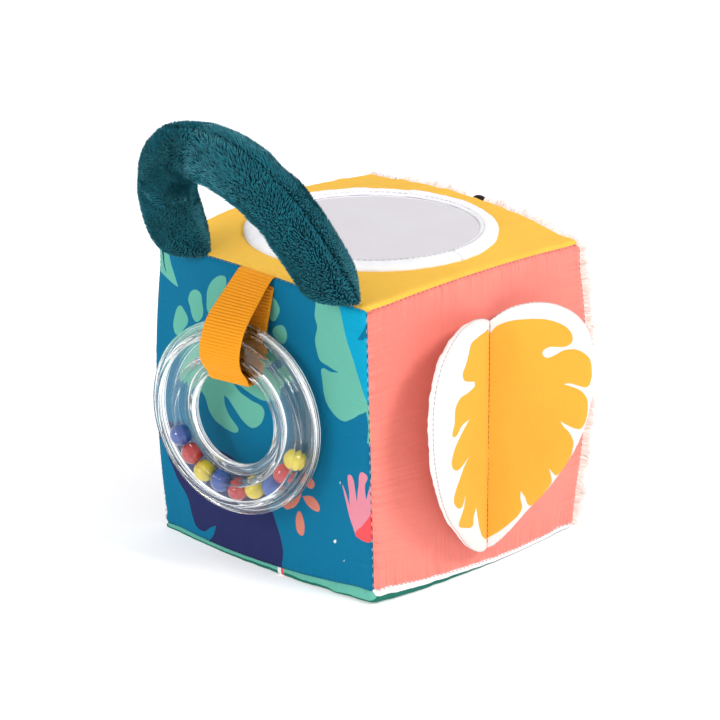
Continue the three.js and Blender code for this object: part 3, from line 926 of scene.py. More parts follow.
def noise_field(places, size, seed):
    """Smooth random directions over flat places."""
    a = smooth_steps(places[:, 0] + 1.7 * smooth_steps(places[:, 1], size, seed) * size, size, seed + 1)
    b = smooth_steps(places[:, 1] + 1.3 * smooth_steps(places[:, 0], size, seed + 2) * size, size, seed + 3)
    return np.stack([a, b], 1)


def add_back_plush():
    # the root colour is darker than the tip: painted shade in the depth of the pile
    white = pile("plush_white", linear(249, 226, 216), linear(254, 243, 238), 0.1, (1, 0.96, 0.94, 1), 0.8)
    shader = white.node_tree.nodes["Principled BSDF"]
    # a faint emission on the white fibres: painted glow that lightens their shaded sides
    shader.inputs["Emission Color"].default_value = (1, 0.93, 0.9, 1)
    shader.inputs["Emission Strength"].default_value = 0.12
    half = HALF_CUT - 0.5
    middle = scatter(half - 7, half - 7, 1.2)
    rim = scatter(half, half, 0.52)
    rim = rim[(np.abs(rim).max(1) > half - 7) & (np.abs(rim).max(1) < half)]
    flat = np.concatenate([middle, rim])
    by_tab = (np.abs(flat[:, 0] + TAB_PLACE[0]) < 7) & (flat[:, 1] > 52)
    flat = flat[~by_tab]
    edge = HALF_CUT - np.abs(flat).max(1)
    roots = on_cube("back", flat, PLUSH_LIFT * (1 - np.exp(-edge / 3)))
    q = face_frame("back", flat)[1]
    normal = unit(np.sign(q) * np.abs(q) ** 4)
    curl = noise_field(flat, 7, 50) * 0.5 + noise_field(flat, 1.2, 60) * 0.7
    right, up = np.array([-1.0, 0, 0]), np.array([0, 0, 1.0])
    lean = curl[:, :1] * right + (curl[:, 1:] - 0.2) * up
    lengths = 3.9 + 1.9 * random.random(len(flat))
    points, faces, uv = tufts(roots, normal, lean, lengths, 0.3)
    points[:, 2] = np.maximum(points[:, 2], 0.3)
    add_mesh("back_plush_pile", points, faces, [white], "cube", None, uv)


# ---- mirror ----
def film():
    """Mirror film: a clean reflection with a faint lilac cast and a little unevenness."""
    material, tree, shader = new_material("mirror_film", {
        "Metallic": 0.7, "Roughness": 0.14, "Base Color": linear(240, 236, 243),
    })
    place = uv_place(tree)
    waves = stretched_noise(tree, place, (0.05, 0.05, 1), 2.0)
    shade_between(tree, shader, waves, linear(244, 238, 245), linear(249, 245, 251))
    bump(tree, shader, waves, 0.0004, 0.3)
    return material


FILM_SEGMENTS, FILM_CENTRE_R = 96, 0.6
BINDING_R = 54
MIRROR_STITCH_R = 47.4
BINDING_PROFILE = [
    (45.4, 1.3), (46.0, 1.9), (48.5, 2.2), (51.2, 2.0), (52.8, 1.5), (53.5, 0.6), (53.3, -0.6),
    (51.0, -0.8), (49.2, -0.2), (49.0, 1.0),
]


def add_mirror_film():
    rings = [(r, 1.1 + 0.8 * (1 - (r / 49.5) ** 2)) for r in np.linspace(FILM_CENTRE_R, 46.5, 26)]
    rings += [(48.8, 1.0), (48.8, 0.5), (20, 0.5), (FILM_CENTRE_R, 0.5)]
    points, faces, uv = lathe(rings, FILM_SEGMENTS, closed=False)
    first = np.arange(FILM_SEGMENTS) * len(rings)
    faces = [f[::-1] for f in faces]
    faces += [tuple(first.tolist()), tuple((first + len(rings) - 1).tolist())[::-1]]
    points[:, 2] += MIRROR_BASE
    uv = points[:, :2] + 100
    mirror = add_mesh("mirror_face", points, faces, [film()], "cube", None, uv)
    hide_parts("mirror_disc")


def add_mirror_binding():
    """The gathered binding, which follows the cloth under its outer edge."""
    band = cotton("binding_cotton", linear(250, 249, 252), weave=0.5, variation=0.025, sheen=0.25)
    points, faces, uv = lathe(rounded(BINDING_PROFILE, 0.5), 240)
    faces = [f[::-1] for f in faces]
    run = np.arctan2(points[:, 1], points[:, 0]) * BINDING_R
    radius = np.hypot(points[:, 0], points[:, 1])
    panel_scale = HALF_CUT / (CORNER_HALF + 0.7 * SEAM_BOW)
    under = on_cube("top", points[:, :2] * panel_scale)[:, 2] - MIRROR_BASE
    points[:, 2] += np.clip((radius - 46) / 7, 0, 1) * np.clip(under, -0.8, 0.8)
    gather = smooth_steps(run, 2.4, 71) * 0.16 + smooth_steps(run, 7.0, 72) * 0.22
    points[:, 2] += gather * np.clip((radius - 44.5) / 5, 0, 1) * (uv[:, 1] < 12)
    points[:, :2] *= (1 + 0.003 * smooth_steps(run, 9.0, 73))[:, None]
    points[:, 2] += MIRROR_BASE
    ring = add_mesh("mirror_binding", points, faces, [band], "cube", None, uv + 20)
    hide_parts("mirror_binding_ring", "mirror_backing_pad")


def add_mirror_stitches():
    paths = []
    for start in np.arange(0, 2 * math.pi, 2.5 / 47):
        angles = start + STITCH_STEPS * 1.6 / 47
        height = MIRROR_BASE + 2.0 + 0.15 * STITCH_ARCH
        across, up = MIRROR_STITCH_R * np.cos(angles), MIRROR_STITCH_R * np.sin(angles)
        paths.append(np.stack([across, up, height], 1))
    points, faces, uv = sweep(paths, 0.2)
    add_mesh("mirror_stitches", points, faces, [threads["pale"]], "cube", None, uv)


# ---- handle ----
ARCH_HALF = 43.7
ARCH_RISE = 61.4
ARCH_MIDDLE = 0.6
ARCH_SQUARE = 0.93    # below 1 the arch's shoulders are squarer than an ellipse's
ARCH_LEAN = math.radians(26.5)
ROOT_START = 0.6
SLEEVE_R = 10.8
ROOT_HALF_W, ROOT_HALF_T = 12.6, 0.8
PINCH_LENGTH = 13.0
ROOT_TUCK = np.array([0, 2.0, -1.6])     # how far the closed roots reach into the cube's top front seam
SEAM_Y, SEAM_Z = -65.0, 130.5
SLEEVE_LENGTH = 210                      # millimetres of sleeve round the whole arch
PILE_LENGTH, PILE_SPACING = 202, 0.8     # the stretch that the tufts' grid divides, and its step


def arch_frame(share):
    """Centre, outward, sideways and along directions of the arch; share runs from 0 to 1 round it."""
    angle = math.pi * np.clip(share, 0, 1)
    across, up = np.cos(angle), np.sin(angle)
    height = ROOT_START + (ARCH_RISE - ROOT_START) * up ** ARCH_SQUARE
    zero = np.zeros_like(angle)
    centre = np.stack([-ARCH_HALF * np.sign(across) * np.abs(across) ** ARCH_SQUARE, zero, height], 1)
    climb = ARCH_RISE * across * np.maximum(up, 0.03) ** (ARCH_SQUARE - 1)
    advance = ARCH_HALF * up * np.maximum(np.abs(across), 0.03) ** (ARCH_SQUARE - 1)
    outward = unit(np.stack([-climb, zero, advance], 1))
    along = np.stack([outward[:, 2], zero, -outward[:, 0]], 1)
    sideways = np.tile([0.0, 1.0, 0.0], (len(angle), 1))
    return centre, outward, sideways, along, height


def leaned(vectors, place=True):
    """From the arch's own frame to the cube's frame."""
    x, y, z = vectors[:, 0], vectors[:, 1], vectors[:, 2]
    cosine, sine = math.cos(ARCH_LEAN), math.sin(ARCH_LEAN)
    turned = np.stack([x, y * cosine - z * sine, y * sine + z * cosine], 1)
    return turned + (np.array([ARCH_MIDDLE, SEAM_Y, SEAM_Z]) if place else 0)


def sleeve(share, turn, grow=0.0):
    """Points on the handle's sleeve; turn is the angle round the tube from its outer line."""
    centre, outward, sideways, along, height = arch_frame(share)
    closing = 1 - np.clip((height - ROOT_START) / PINCH_LENGTH, 0, 1)
    opened = np.sqrt(np.clip(1 - closing**2.5, 0, 1))
    wide = ROOT_HALF_W + (SLEEVE_R - ROOT_HALF_W) * opened
    thick = ROOT_HALF_T + (SLEEVE_R - ROOT_HALF_T) * opened
    gap = turn * SLEEVE_R
    seam = 1.1 * np.exp(-((gap / 3.2) ** 2)) - 2.2 * np.exp(-((gap / 0.9) ** 2))
    run = share * SLEEVE_LENGTH
    dents = 0.45 * smooth_steps(run + 9 * np.sin(turn), 13, 81) + 0.3 * smooth_steps(run, 6, 82)
    out = grow + (seam + dents) * opened
    normal = unit(outward * (np.cos(turn) * thick)[:, None] + sideways * (np.sin(turn) * wide)[:, None])
    at = centre + outward * (np.cos(turn) * wide)[:, None] + sideways * (np.sin(turn) * thick)[:, None]
    tucked = (closing**2)[:, None] * ROOT_TUCK
    return leaned(at + normal * out[:, None]) + tucked, leaned(normal, False), leaned(along, False), opened


def add_handle_sleeve():
    rows, sides = 150, 48
    turns = np.linspace(-math.pi, math.pi, sides, endpoint=False)
    share, turn = (a.ravel() for a in np.meshgrid(np.linspace(0, 1, rows), turns, indexing="ij"))
    points = sleeve(share, turn)[0]
    faces = grid_faces(rows, sides)
    faces += [tuple(range(sides)), tuple(range((rows - 1) * sides, rows * sides))[::-1]]
    uv = np.stack([share * SLEEVE_LENGTH, (turn + 4) * SLEEVE_R], 1)
    backing = cotton("teal_backing", linear(2, 54, 68), variation=0.1)
    base = add_mesh("handle_sleeve_base", points, faces, [backing], "handle", None, uv)
    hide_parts("handle_sleeve", "handle_filling")


def add_handle_pile():
    """Short tufts that lie away from the arch's top and part along the outer seam."""
    # the root colour is much darker than the tip: painted shade in the depth of the pile
    teal = pile("plush_teal", linear(0, 42, 56), linear(12, 116, 132), 0.5, (0.3, 0.85, 0.95, 1), 0.55)
    along_places = np.arange(0, PILE_LENGTH, PILE_SPACING)
    around = np.arange(0, 2 * math.pi * SLEEVE_R, PILE_SPACING)
    grid = np.stack(np.meshgrid(along_places, around, indexing="ij"), -1)
    grid[::2, :, 1] += PILE_SPACING / 2
    grid = grid.reshape(-1, 2) + random.uniform(-0.35, 0.35, (len(along_places) * len(around), 2))
    share = np.clip(grid[:, 0] / PILE_LENGTH, 0.002, 0.998)
    turn = (grid[:, 1] / SLEEVE_R) % (2 * math.pi) - math.pi
    roots, normal, along, opened = sleeve(share, turn)
    side_of_top = np.sign(0.5 - share)
    normal = unit(normal - along * (side_of_top * (1 - opened) * 1.3)[:, None])
    sideways = np.cross(normal, along)
    wander = noise_field(grid, 16, 90) * 0.8 + noise_field(grid, 2.4, 95) * 0.4
    part = np.sign(turn) * np.exp(-np.abs(turn) * SLEEVE_R / 3.5)
    forward = 0.9 * side_of_top + wander[:, 0]
    aside = 0.9 * wander[:, 1] - 0.9 * part
    lean = unit(along * forward[:, None] + sideways * aside[:, None])
    lengths = (1.8 + 0.8 * random.random(len(share))) * (0.5 + 0.5 * opened)
    points, faces, uv = tufts(roots, normal, lean, lengths, 0.4)
    add_mesh("handle_pile", points, faces, [teal], "handle", None, uv)


# ---- rattle ring ----
RING_CENTRE = np.array([1.9, -80.0, 71.5])
RING_TWIST = math.radians(10)
RING_OUT_R, RING_HOLE_R, RING_HALF_T, SHELL_WALL = 41.3, 20.5, 6.3, 1.4
OUTER_FLANGE, INNER_FLANGE, FLANGE_HALF_T = 3.0, 4.2, 1.7


def on_ring(points, mirrored=False):
    """From the ring's own frame, whose Z stands out of its face, to the cube's frame."""
    across = np.array([math.cos(RING_TWIST), math.sin(RING_TWIST), 0])
    out = np.array([math.sin(RING_TWIST), -math.cos(RING_TWIST), 0])
    side = -1 if mirrored else 1
    return (RING_CENTRE + points[:, :1] * across + points[:, 1:2] * np.array([0, 0, 1.0])
            + points[:, 2:] * side * out)


def clear_plastic():
    material, tree, shader = new_material("clear_plastic", {
        "Base Color": (0.97, 0.985, 0.98, 1), "Roughness": 0.01, "IOR": 1.38, "Transmission Weight": 1.0,
    })
    scratches = object_noise(tree, 160.0, 2.0)
    ramp = node(tree, "MapRange", {"Value": scratches, "To Min": 0.0, "To Max": 0.02})
    tree.links.new(ramp.outputs[0], shader.inputs["Roughness"])
    bump(tree, shader, scratches, 0.0001, 0.015)
    return material


def shell_profile():
    """Half of the hollow ring: welded rims with a raised bead, and the channel's ribbed walls."""
    join, slope = 0.03, 2.0
    out_r, in_r = RING_OUT_R - OUTER_FLANGE, RING_HOLE_R + INNER_FLANGE
    roof = RING_HALF_T - SHELL_WALL
    outside = [
        (RING_OUT_R, join), (RING_OUT_R, FLANGE_HALF_T + 0.5), (RING_OUT_R - 1.0, FLANGE_HALF_T + 0.5),
        (RING_OUT_R - 1.3, FLANGE_HALF_T), (out_r, FLANGE_HALF_T), (out_r - 0.6, RING_HALF_T - slope),
        (out_r - 1.4, RING_HALF_T - 0.5), (out_r - 2.2, RING_HALF_T), (out_r - 3.2, RING_HALF_T),
        (out_r - 3.6, RING_HALF_T - 0.35), (in_r + 3.6, RING_HALF_T - 0.35), (in_r + 3.2, RING_HALF_T),
        (in_r + 2.2, RING_HALF_T), (in_r + 1.4, RING_HALF_T - 0.5), (in_r + 0.6, RING_HALF_T - slope),
        (in_r, FLANGE_HALF_T), (RING_HOLE_R + 2.2, FLANGE_HALF_T), (RING_HOLE_R + 1.9, FLANGE_HALF_T + 0.6),
        (RING_HOLE_R + 0.4, FLANGE_HALF_T + 0.6), (RING_HOLE_R, FLANGE_HALF_T), (RING_HOLE_R, join),
    ]
    within = [
        (in_r + SHELL_WALL, join), (in_r + slope / 2 + SHELL_WALL, roof - slope / 2),
        (in_r + slope * 1.5 + SHELL_WALL / 2, roof), (out_r - slope * 1.5 - SHELL_WALL / 2, roof),
        (out_r - slope / 2 - SHELL_WALL, roof - slope / 2), (out_r - SHELL_WALL, join),
    ]
    return rounded(outside + within, 0.45)


def bead_plastic(name, colour):
    material, tree, shader = new_material(name, {
        "Roughness": 0.14, "Coat Weight": 0.6, "Coat Roughness": 0.06, "Specular IOR Level": 0.6,
        "Subsurface Weight": 0.08, "Subsurface Scale": 0.002,
    })
    swirl = object_noise(tree, 240.0, 3.0)
    shade_between(tree, shader, swirl, toned(colour, 0.94), toned(colour, 1.05))
    bump(tree, shader, swirl, 0.00005, 0.2)
    return material


BEADS, BEAD_R, BEAD_TRACK_R = 9, 4.4, 31.4
BEAD_FIRST, BEAD_STEP = 206.0, 16.5      # degrees round the ring


def add_ring_shells():
    plastic = clear_plastic()
    for side, mirrored in (("front", False), ("rear", True)):
        points, faces, uv = lathe(shell_profile(), 300)
        if mirrored:
            faces = [f[::-1] for f in faces]
        shell = add_mesh("ring_clear_" + side, on_ring(points, mirrored), faces, [plastic], "ring",
                         None, uv)
        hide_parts("ring_shell_" + side)


def add_beads():
    """Glossy beads that lie in the channel's lower part, each turned its own way."""
    rows, segments, full_turn = 31, 48, 6.28
    colours = {"blue": linear(24, 84, 186), "red": linear(214, 24, 34), "yellow": linear(255, 224, 16)}
    looks = [(c, bead_plastic("bead_" + c, colours[c])) for c in ("blue", "red", "yellow")]
    rise = np.linspace(-math.pi / 2 + 0.02, math.pi / 2 - 0.02, rows)
    moulding_line = 0.07 * np.exp(-((rise / 0.05) ** 2))
    ball = np.stack([BEAD_R * np.cos(rise) + moulding_line, BEAD_R * np.sin(rise)], 1)
    for number in range(BEADS):
        points, faces, uv = lathe(ball, segments, closed=False)
        poles = range(0, rows * segments, rows)
        faces += [tuple(poles)[::-1], tuple(first + rows - 1 for first in poles)]
        tip = random.uniform(0.2, 1.2)
        spin = random.uniform(0, full_turn)
        a = np.array([math.cos(spin), math.sin(spin), 0])
        c = np.array([-math.sin(spin) * math.sin(tip), math.cos(spin) * math.sin(tip), math.cos(tip)])
        points = points @ np.stack([a, np.cross(c, a), c])
        angle = math.radians(BEAD_FIRST + number * BEAD_STEP)
        radius = BEAD_TRACK_R + (-0.5 if number % 2 else 0.5)
        points += np.array([radius * math.cos(angle), radius * math.sin(angle), 0])
        colour, look = looks[number % 3]
        bead = add_mesh(f"bead_{number + 1}_{colour}", on_ring(points), faces, [look], "beads",
                        None, uv)
        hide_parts(f"rattle_bead_{number + 1}")


# ---- ribbon ----
RIBBON_X, RIBBON_WIDTH, RIBBON_T = 1.0, 20.0, 0.8
RIB_PITCH = 1.35


def ribbon_route():
    """The ribbon's middle line as (y, z), from the seam in front of the ring, under its rim and back up."""
    clear, tuck, dip, above = 1.4, 2.3, 1.1, 10.0
    front = RING_CENTRE[1] - RING_HALF_T - clear
    back = RING_CENTRE[1] + RING_HALF_T + clear
    ring_top = RING_CENTRE[2] + RING_OUT_R
    reach = RIBBON_WIDTH / 2 + abs(RIBBON_X - RING_CENTRE[0])
    hole_top = RING_CENTRE[2] + math.sqrt(RING_HOLE_R**2 - reach**2)
    return [
        (SEAM_Y - 0.7, SEAM_Z - 0.2), (SEAM_Y - tuck, SEAM_Z - 0.4), (SEAM_Y - 9.5, SEAM_Z - 7.5),
        (RING_CENTRE[1] - 3.6, ring_top), (front + 0.7, ring_top - 8), (front, hole_top + above),
        (front + 1.2, hole_top + 5.6), (front + 4.2, hole_top + 1.4),
        (RING_CENTRE[1] - 2.4, hole_top - dip), (RING_CENTRE[1], hole_top - dip - 0.4),
        (RING_CENTRE[1] + 3, hole_top - dip + 1),
        (back - 1.2, hole_top + 5), (back, hole_top + above + 2), (back + 0.2, ring_top - 3),
        (SEAM_Y - tuck, SEAM_Z - 6), (SEAM_Y - 0.7, SEAM_Z - 3.6),
    ]


def add_ribbon():
    material = cotton("ribbon_grosgrain", linear(240, 154, 26), weave=0.6, variation=0.06, sheen=0.1,
                      roughness=0.6)
    line = smooth_line(ribbon_route(), 0.2, closed=False)
    travelled = np.r_[0, np.cumsum(np.linalg.norm(np.diff(line, axis=0), axis=1))]
    total = travelled[-1]
    steps = np.arange(0, total, RIB_PITCH / 6)
    y, z = np.interp(steps, travelled, line[:, 0]), np.interp(steps, travelled, line[:, 1])
    along = unit(np.stack([np.gradient(y), np.gradient(z)], 1))
    off = np.stack([-along[:, 1], along[:, 0]], 1)
    border_places = np.array([0, 0.25, 0.9])
    inner_places = np.linspace(1.6, RIBBON_WIDTH - 1.6, 12)
    across = np.r_[border_places, inner_places, RIBBON_WIDTH - border_places[::-1]]
    selvage = np.clip(np.minimum(across, RIBBON_WIDTH - across) / 0.9, 0, 1)
    edge = np.sqrt(np.clip(np.minimum(across, RIBBON_WIDTH - across) / 0.5, 0.05, 1))
    rib = np.abs(np.sin(math.pi * steps / RIB_PITCH)) ** 0.7 * 0.42
    ring_top = RING_CENTRE[2] + RING_OUT_R
    layers = []
    for side in (1, -1):
        height = side * (RIBBON_T / 2 * edge[None] - 0.15 + rib[:, None] * selvage[None])
        at_y = y[:, None] + off[:, :1] * height
        at_z = z[:, None] + off[:, 1:] * height
        at_x = np.broadcast_to(RIBBON_X - RIBBON_WIDTH / 2 + across, at_y.shape)
        turned = np.clip((SEAM_Z - at_z) / (SEAM_Z - ring_top), 0, 1)
        turned = turned * turned * (3 - 2 * turned)
        at_y = at_y + (at_x - RING_CENTRE[0]) * math.tan(RING_TWIST) * turned
        layers.append(np.stack([at_x, at_y, at_z], -1).reshape(-1, 3))
    rows, columns = len(steps), len(across)
    half = rows * columns
    faces = grid_faces(rows, columns, round_columns=False, flipped=True)
    faces += (np.array(grid_faces(rows, columns, round_columns=False)) + half).tolist()
    for i in range(rows - 1):
        for j, flip in ((0, 1), (columns - 1, -1)):
            a = i * columns + j
            quad = (a, a + columns, half + a + columns, half + a)
            faces.append(quad[::flip])
    for i, flip in ((0, 1), (rows - 1, -1)):
        for j in range(columns - 1):
            a = i * columns + j
            quad = (a, a + 1, half + a + 1, half + a)
            faces.append(quad[::flip])
    flat = np.stack(np.meshgrid(steps, across, indexing="ij"), -1).reshape(-1, 2)
    piece = add_mesh("ribbon_grosgrain", np.concatenate(layers), faces, [material], "ribbon",
                     None, np.concatenate([flat, flat]))
    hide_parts("ribbon_loop")


# ---- leaf ----
LEAF_HINGE = np.array([69.9, -1.6, 0])
LEAF_OPEN = math.radians(18.6)
HINGE_GAP = 0.15      # each half starts this far from the midrib's line
FRONT_RISE = 0.3      # the front's slope at the hinge, low enough for the two halves to fold together
LEAF_ORANGE = {
    "right": [
        (0, 105, 1), (2.5, 108), (8, 110), (15.5, 110), (23, 109), (29.5, 106.5), (34, 103.5), (36.5, 99.5),
        (36, 96.5), (32.5, 95.5), (26, 96.5), (23, 95.5), (22.5, 94), (24.5, 92), (28, 92.5), (32.5, 94),
        (38, 93.5), (42.5, 91), (45.5, 87.5), (46.5, 82), (45.5, 77), (43.5, 76), (40.5, 77), (35.5, 79),
        (33, 79, 1), (38.5, 76.5), (42, 74), (44.5, 70), (45, 64.5), (44, 60.5), (41.5, 58), (39, 58.5),
        (36, 60), (31.5, 63, 1), (33, 60.5), (36, 57), (38, 52.5), (38, 48.5), (37.5, 44), (34.5, 40),
        (31.5, 38.5), (30, 39), (28.5, 40.5), (26.5, 43, 1), (28, 38.5), (28.5, 35.5), (26, 32.5),
        (23.5, 29.5), (19.5, 27), (17, 28.5), (15.5, 32), (13.5, 35, 1), (13.5, 31.5), (14.5, 27),
        (12.5, 23.5), (8.5, 20.5), (4.5, 17.5), (0, 15, 1),
    ],
    "left": [
        (0, 105, 1), (4, 108.5), (10, 109.5), (18.5, 110), (26, 109.5), (29, 105.5), (31.5, 102), (34, 99),
        (32.5, 96), (26.5, 93.5), (22.5, 92), (22.5, 90, 1), (29.5, 89.5), (36, 89.5), (40, 86.5), (41, 80),
        (43, 76), (39.5, 74.5), (34, 77), (27, 77.5, 1), (32, 75), (37.5, 72), (41.5, 69), (44.5, 64.5),
        (42, 61), (37.5, 59.5), (27.5, 61.5, 1), (32.5, 59), (36.5, 55.5), (40, 51.5), (40.5, 46.5),
        (37, 42.5), (34, 42), (31, 46, 1), (32, 42), (34, 36.5), (33, 33), (28, 30.5), (22.5, 29.5),
        (22, 33), (19.5, 36.5, 1), (18, 31.5), (16, 26.5), (12, 21.5), (8, 18.5), (4, 16.5), (0, 14.5, 1),
    ],
}
LEAF_OUTLINE = {
    "right": [
        (0, 110.6, 1), (4, 113), (10, 115), (18, 115.6), (26, 114.6), (33, 112), (40, 107.4), (45.4, 100.6),
        (48.6, 91), (49.4, 81), (48.2, 70), (45.8, 60), (41.8, 50), (36.4, 41.6), (28, 32.6), (18, 24),
        (8, 14.8), (3, 11.4), (0, 10.6, 1),
    ],
    "left": [
        (0, 110.6, 1), (5, 113), (12, 115), (20, 115.6), (29, 114.8), (37, 112), (44.6, 107), (50.4, 99),
        (53.4, 89), (53.6, 78), (52, 67), (48.6, 56), (44, 46), (37.4, 36.4), (29, 28), (19, 18.4),
        (10, 12.8), (4, 10.6), (0, 10.6, 1),
    ],
}


def leaf_axes(direction):
    across = np.array([math.sin(LEAF_OPEN), direction * math.cos(LEAF_OPEN), 0])
    out = np.array([math.cos(LEAF_OPEN), -direction * math.sin(LEAF_OPEN), 0])
    return across, out


def pillow(edge, w, thick, soft=7.5):
    """Half thickness of the pad: full in the middle, round at its edge and thin at the hinge."""
    round_edge = np.sqrt(np.clip(1 - (1 - np.clip(edge / soft, 0, 1)) ** 2.2, 0, 1))
    return thick * round_edge * (1 - np.exp(-w / 10)) + 0.3 * np.clip(edge, 0, 1)


def add_leaf_half(side, direction, looks):
    outer = smooth_line(LEAF_OUTLINE[side], 1.0)
    prints = [(1, smooth_line(LEAF_ORANGE[side], 0.9))]
    prints[0][1][:, 0] = np.maximum(prints[0][1][:, 0], 0.02)
    across, up = np.arange(1.2, 54, 1.7), np.arange(10, 116, 1.7)
    fill = np.stack(np.meshgrid(across, up, indexing="ij"), -1).reshape(-1, 2)
    fill = fill[inside(fill, outer)]
    fill = fill[distance_to(fill, outer) > 3.4]
    tangent = unit(np.roll(outer, -1, 0) - np.roll(outer, 1, 0))
    inward = np.stack([-tangent[:, 1], tangent[:, 0]], 1)
    if not inside(outer[10:11] + inward[10:11] * 0.5, outer)[0]:
        inward = -inward
    rings = []
    for inset in (0.15, 0.55, 1.2, 2.1):
        ring = outer + inward * inset
        keep = inside(ring, outer)
        keep[keep] &= distance_to(ring[keep], outer) > inset * 0.8
        rings.append(ring[keep])
    flat, faces, index = cut_cloth(outer, np.concatenate([fill] + rings), prints)
    edge = distance_to(flat, outer)
    rim = np.concatenate([[0], np.cumsum(np.linalg.norm(np.diff(outer, axis=0), axis=1))])
    nearest = np.linalg.norm(flat[:, None] - outer[None], axis=2).argmin(1)
    run = rim[nearest]
    gather = (0.32 * smooth_steps(run, 2.2, 101) + 0.4 * smooth_steps(run, 4.5, 102)) * np.exp(-edge / 4.5)
    gather = gather * np.clip(edge / 0.8, 0, 1)
    quilt = 0.35 * smooth_steps(flat[:, 0] * 0.7 + flat[:, 1] * 0.4, 11, 103)
    quilt += 0.3 * smooth_steps(flat[:, 1] * 0.8 - flat[:, 0] * 0.5, 9, 104)
    quilt *= np.clip(edge / 10, 0, 1)
    across_axis, out_axis = leaf_axes(direction)
    sheets = []
    for sign in (1, -1):
        stand = sign * (pillow(edge, flat[:, 0], 3.9) + (gather + quilt) * np.clip(flat[:, 0] / 6, 0, 1))
        stand = np.where(edge < 0.01, 0.0, np.minimum(stand, FRONT_RISE * flat[:, 0]))
        at = LEAF_HINGE + (flat[:, :1] + HINGE_GAP) * across_axis + stand[:, None] * out_axis
        at[:, 2] += flat[:, 1]
        sheets.append(at)
    every, used = two_sided(faces, edge)
    if direction < 0:
        every = every[:, ::-1]
    kinds = np.concatenate([index, np.full(len(faces), 2)])
    points = np.concatenate(sheets)[used]
    uv = np.concatenate([flat, flat])[used] + 50
    piece = add_mesh(f"leaf_{side}_pad", points, every.tolist(), looks, f"leaf_{side}",
                     kinds, uv)
    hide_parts(*[f"leaf_{side}_{part}" for part in ("front", "wadding", "crinkle_film", "back")])
    add_leaf_edge_stitches(side, direction, outer, rim)


def add_leaf_edge_stitches(side, direction, outer, rim):
    """White stitches round a half's outline; rim is the length travelled at each of its points."""
    across_axis, out_axis = leaf_axes(direction)
    paths = []
    for start in np.arange(0, rim[-1], 2.2):
        along = np.interp(start + STITCH_STEPS * 1.5, rim, np.arange(len(rim)))
        low = along.astype(int) % len(outer)
        spot = outer[low] + (outer[(low + 1) % len(outer)] - outer[low]) * (along % 1)[:, None]
        if spot[:, 0].min() < 0.6:
            continue
        stand = 0.25 + STITCH_ARCH * 0.1
        at = LEAF_HINGE + (spot[:, :1] + HINGE_GAP) * across_axis + stand[:, None] * out_axis
        at[:, 2] += spot[:, 1]
        paths.append(at)
    points, faces, uv = sweep(paths, 0.2)
    add_mesh(f"leaf_{side}_edge_stitches", points, faces, [threads["white"]], f"leaf_{side}",
             None, uv)


def add_leaf():
    white = cotton("leaf_cotton_white", linear(238, 229, 226), variation=0.035, sheen=0.1)
    orange = cotton("leaf_cotton_orange", ORANGE, variation=0.09)
    back = cotton("leaf_cotton_back", linear(248, 246, 244), variation=0.03)
    for side, direction in (("left", -1), ("right", 1)):
        add_leaf_half(side, direction, [white, orange, back])
    paths = []
    for start in np.arange(13, 108, 2.3):
        x = LEAF_HINGE[0] + 0.15 + 0.1 * STITCH_ARCH
        paths.append(np.stack([x, np.full(len(x), LEAF_HINGE[1]), start + STITCH_STEPS * 1.6], 1))
    points, faces, uv = sweep(paths, 0.15)
    stitches = add_mesh("leaf_midrib_stitches", points, faces, [threads["orange"]], "cube",
                        None, uv)
    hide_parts("leaf_midrib")
    z = np.linspace(11.6, 106, 60)
    x = LEAF_HINGE[0] - 1.2 + 0.25 * smooth_steps(z, 4, 111)
    points, faces, uv = sweep([np.stack([x, np.full(len(x), LEAF_HINGE[1]), z], 1)], 1.3, 12)
    add_mesh("leaf_midrib_fold", points, faces, [orange], "cube", None, uv)


# ---- small sewn-in pieces ----
LABEL_PLACE = (-68.4, 50, 39)


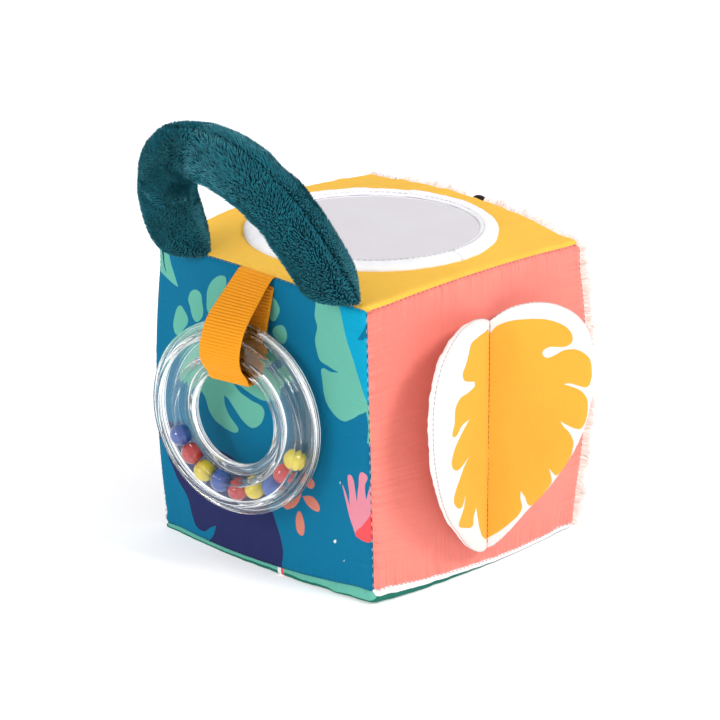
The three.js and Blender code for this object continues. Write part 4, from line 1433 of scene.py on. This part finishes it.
def soft_tab(name, outline, thick, place, axes, material, stands_for):
    """A flat piece of felt or tape with a rounded edge. axes are its right and up directions."""
    outer = smooth_line(outline, 0.6)
    span = np.arange(-30, 30, 1.0)
    fill = np.stack(np.meshgrid(span, span, indexing="ij"), -1).reshape(-1, 2)
    fill = fill[inside(fill, outer)]
    fill = fill[distance_to(fill, outer) > 0.7]
    shrunk = outer * 0.97 + outer.mean(0) * 0.03
    flat, faces, _ = cut_cloth(outer, np.concatenate([fill, shrunk]), [])
    edge = distance_to(flat, outer)
    right, up = (np.array(a, float) for a in axes)
    out = np.cross(right, up)
    bend = 0.25 * smooth_steps(flat[:, 0], 6, 121) + 0.25 * smooth_steps(flat[:, 1], 7, 122)
    sheets = []
    for sign in (1, -1):
        stand = bend + sign * thick / 2 * np.sqrt(np.clip(edge / 0.5, 0, 1))
        sheets.append(np.array(place) + flat[:, :1] * right + flat[:, 1:] * up + stand[:, None] * out)
    every, used = two_sided(faces, edge)
    uv = np.concatenate([flat, flat])[used] + 40
    piece = add_mesh(name, np.concatenate(sheets)[used], every.tolist(), [material], "cube", None, uv)
    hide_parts(stands_for)


def add_tab_and_label():
    felt = cotton("felt_black", linear(42, 34, 44), weave=0.9, variation=0.2, sheen=0.4, roughness=0.95)
    tape = cotton("label_tape", linear(246, 244, 240), weave=0.35, variation=0.02)
    tab = [(-6, -8, 1), (6, -8, 1), (6, 2.4), (4.3, 6.5), (0, 8.2), (-4.3, 6.5), (-6, 2.4)]
    soft_tab("back_tab_felt", tab, 2.0, TAB_PLACE, ((1, 0, 0), (0, 0, 1)), felt, "back_tab")
    label = [(-12, -9, 1), (12, -9, 1), (12, 9, 1), (-12, 9, 1)]
    soft_tab("blank_label", label, 0.8, LABEL_PLACE, ((0, 1, 0), (0, 0, 1)), tape,
             "sewn_in_label")


def add_floor():
    material, tree, shader = new_material("floor_paper", {
        "Roughness": 0.9, "Emission Color": (1, 1, 1, 1), "Emission Strength": 0.3,
    })
    grain = object_noise(tree, 300.0, 2.0)
    shade_between(tree, shader, grain, (0.93, 0.93, 0.94, 1), (0.96, 0.96, 0.96, 1))
    mesh = bpy.data.meshes.new("floor")
    reach = 6.0
    corners = [(-reach, -reach, 0), (reach, -reach, 0), (reach, reach, 0), (-reach, reach, 0)]
    mesh.from_pydata(corners, [], [(0, 1, 2, 3)])
    mesh.materials.append(material)
    floor = bpy.data.objects.new("floor", mesh)
    bpy.context.scene.collection.objects.link(floor)


add_camera()
add_studio()
add_floor()
add_covers()
add_stitches()
add_back_plush()
add_mirror_film()
add_mirror_binding()
add_mirror_stitches()
add_handle_sleeve()
add_handle_pile()
add_ring_shells()
add_beads()
add_ribbon()
add_leaf()
add_tab_and_label()
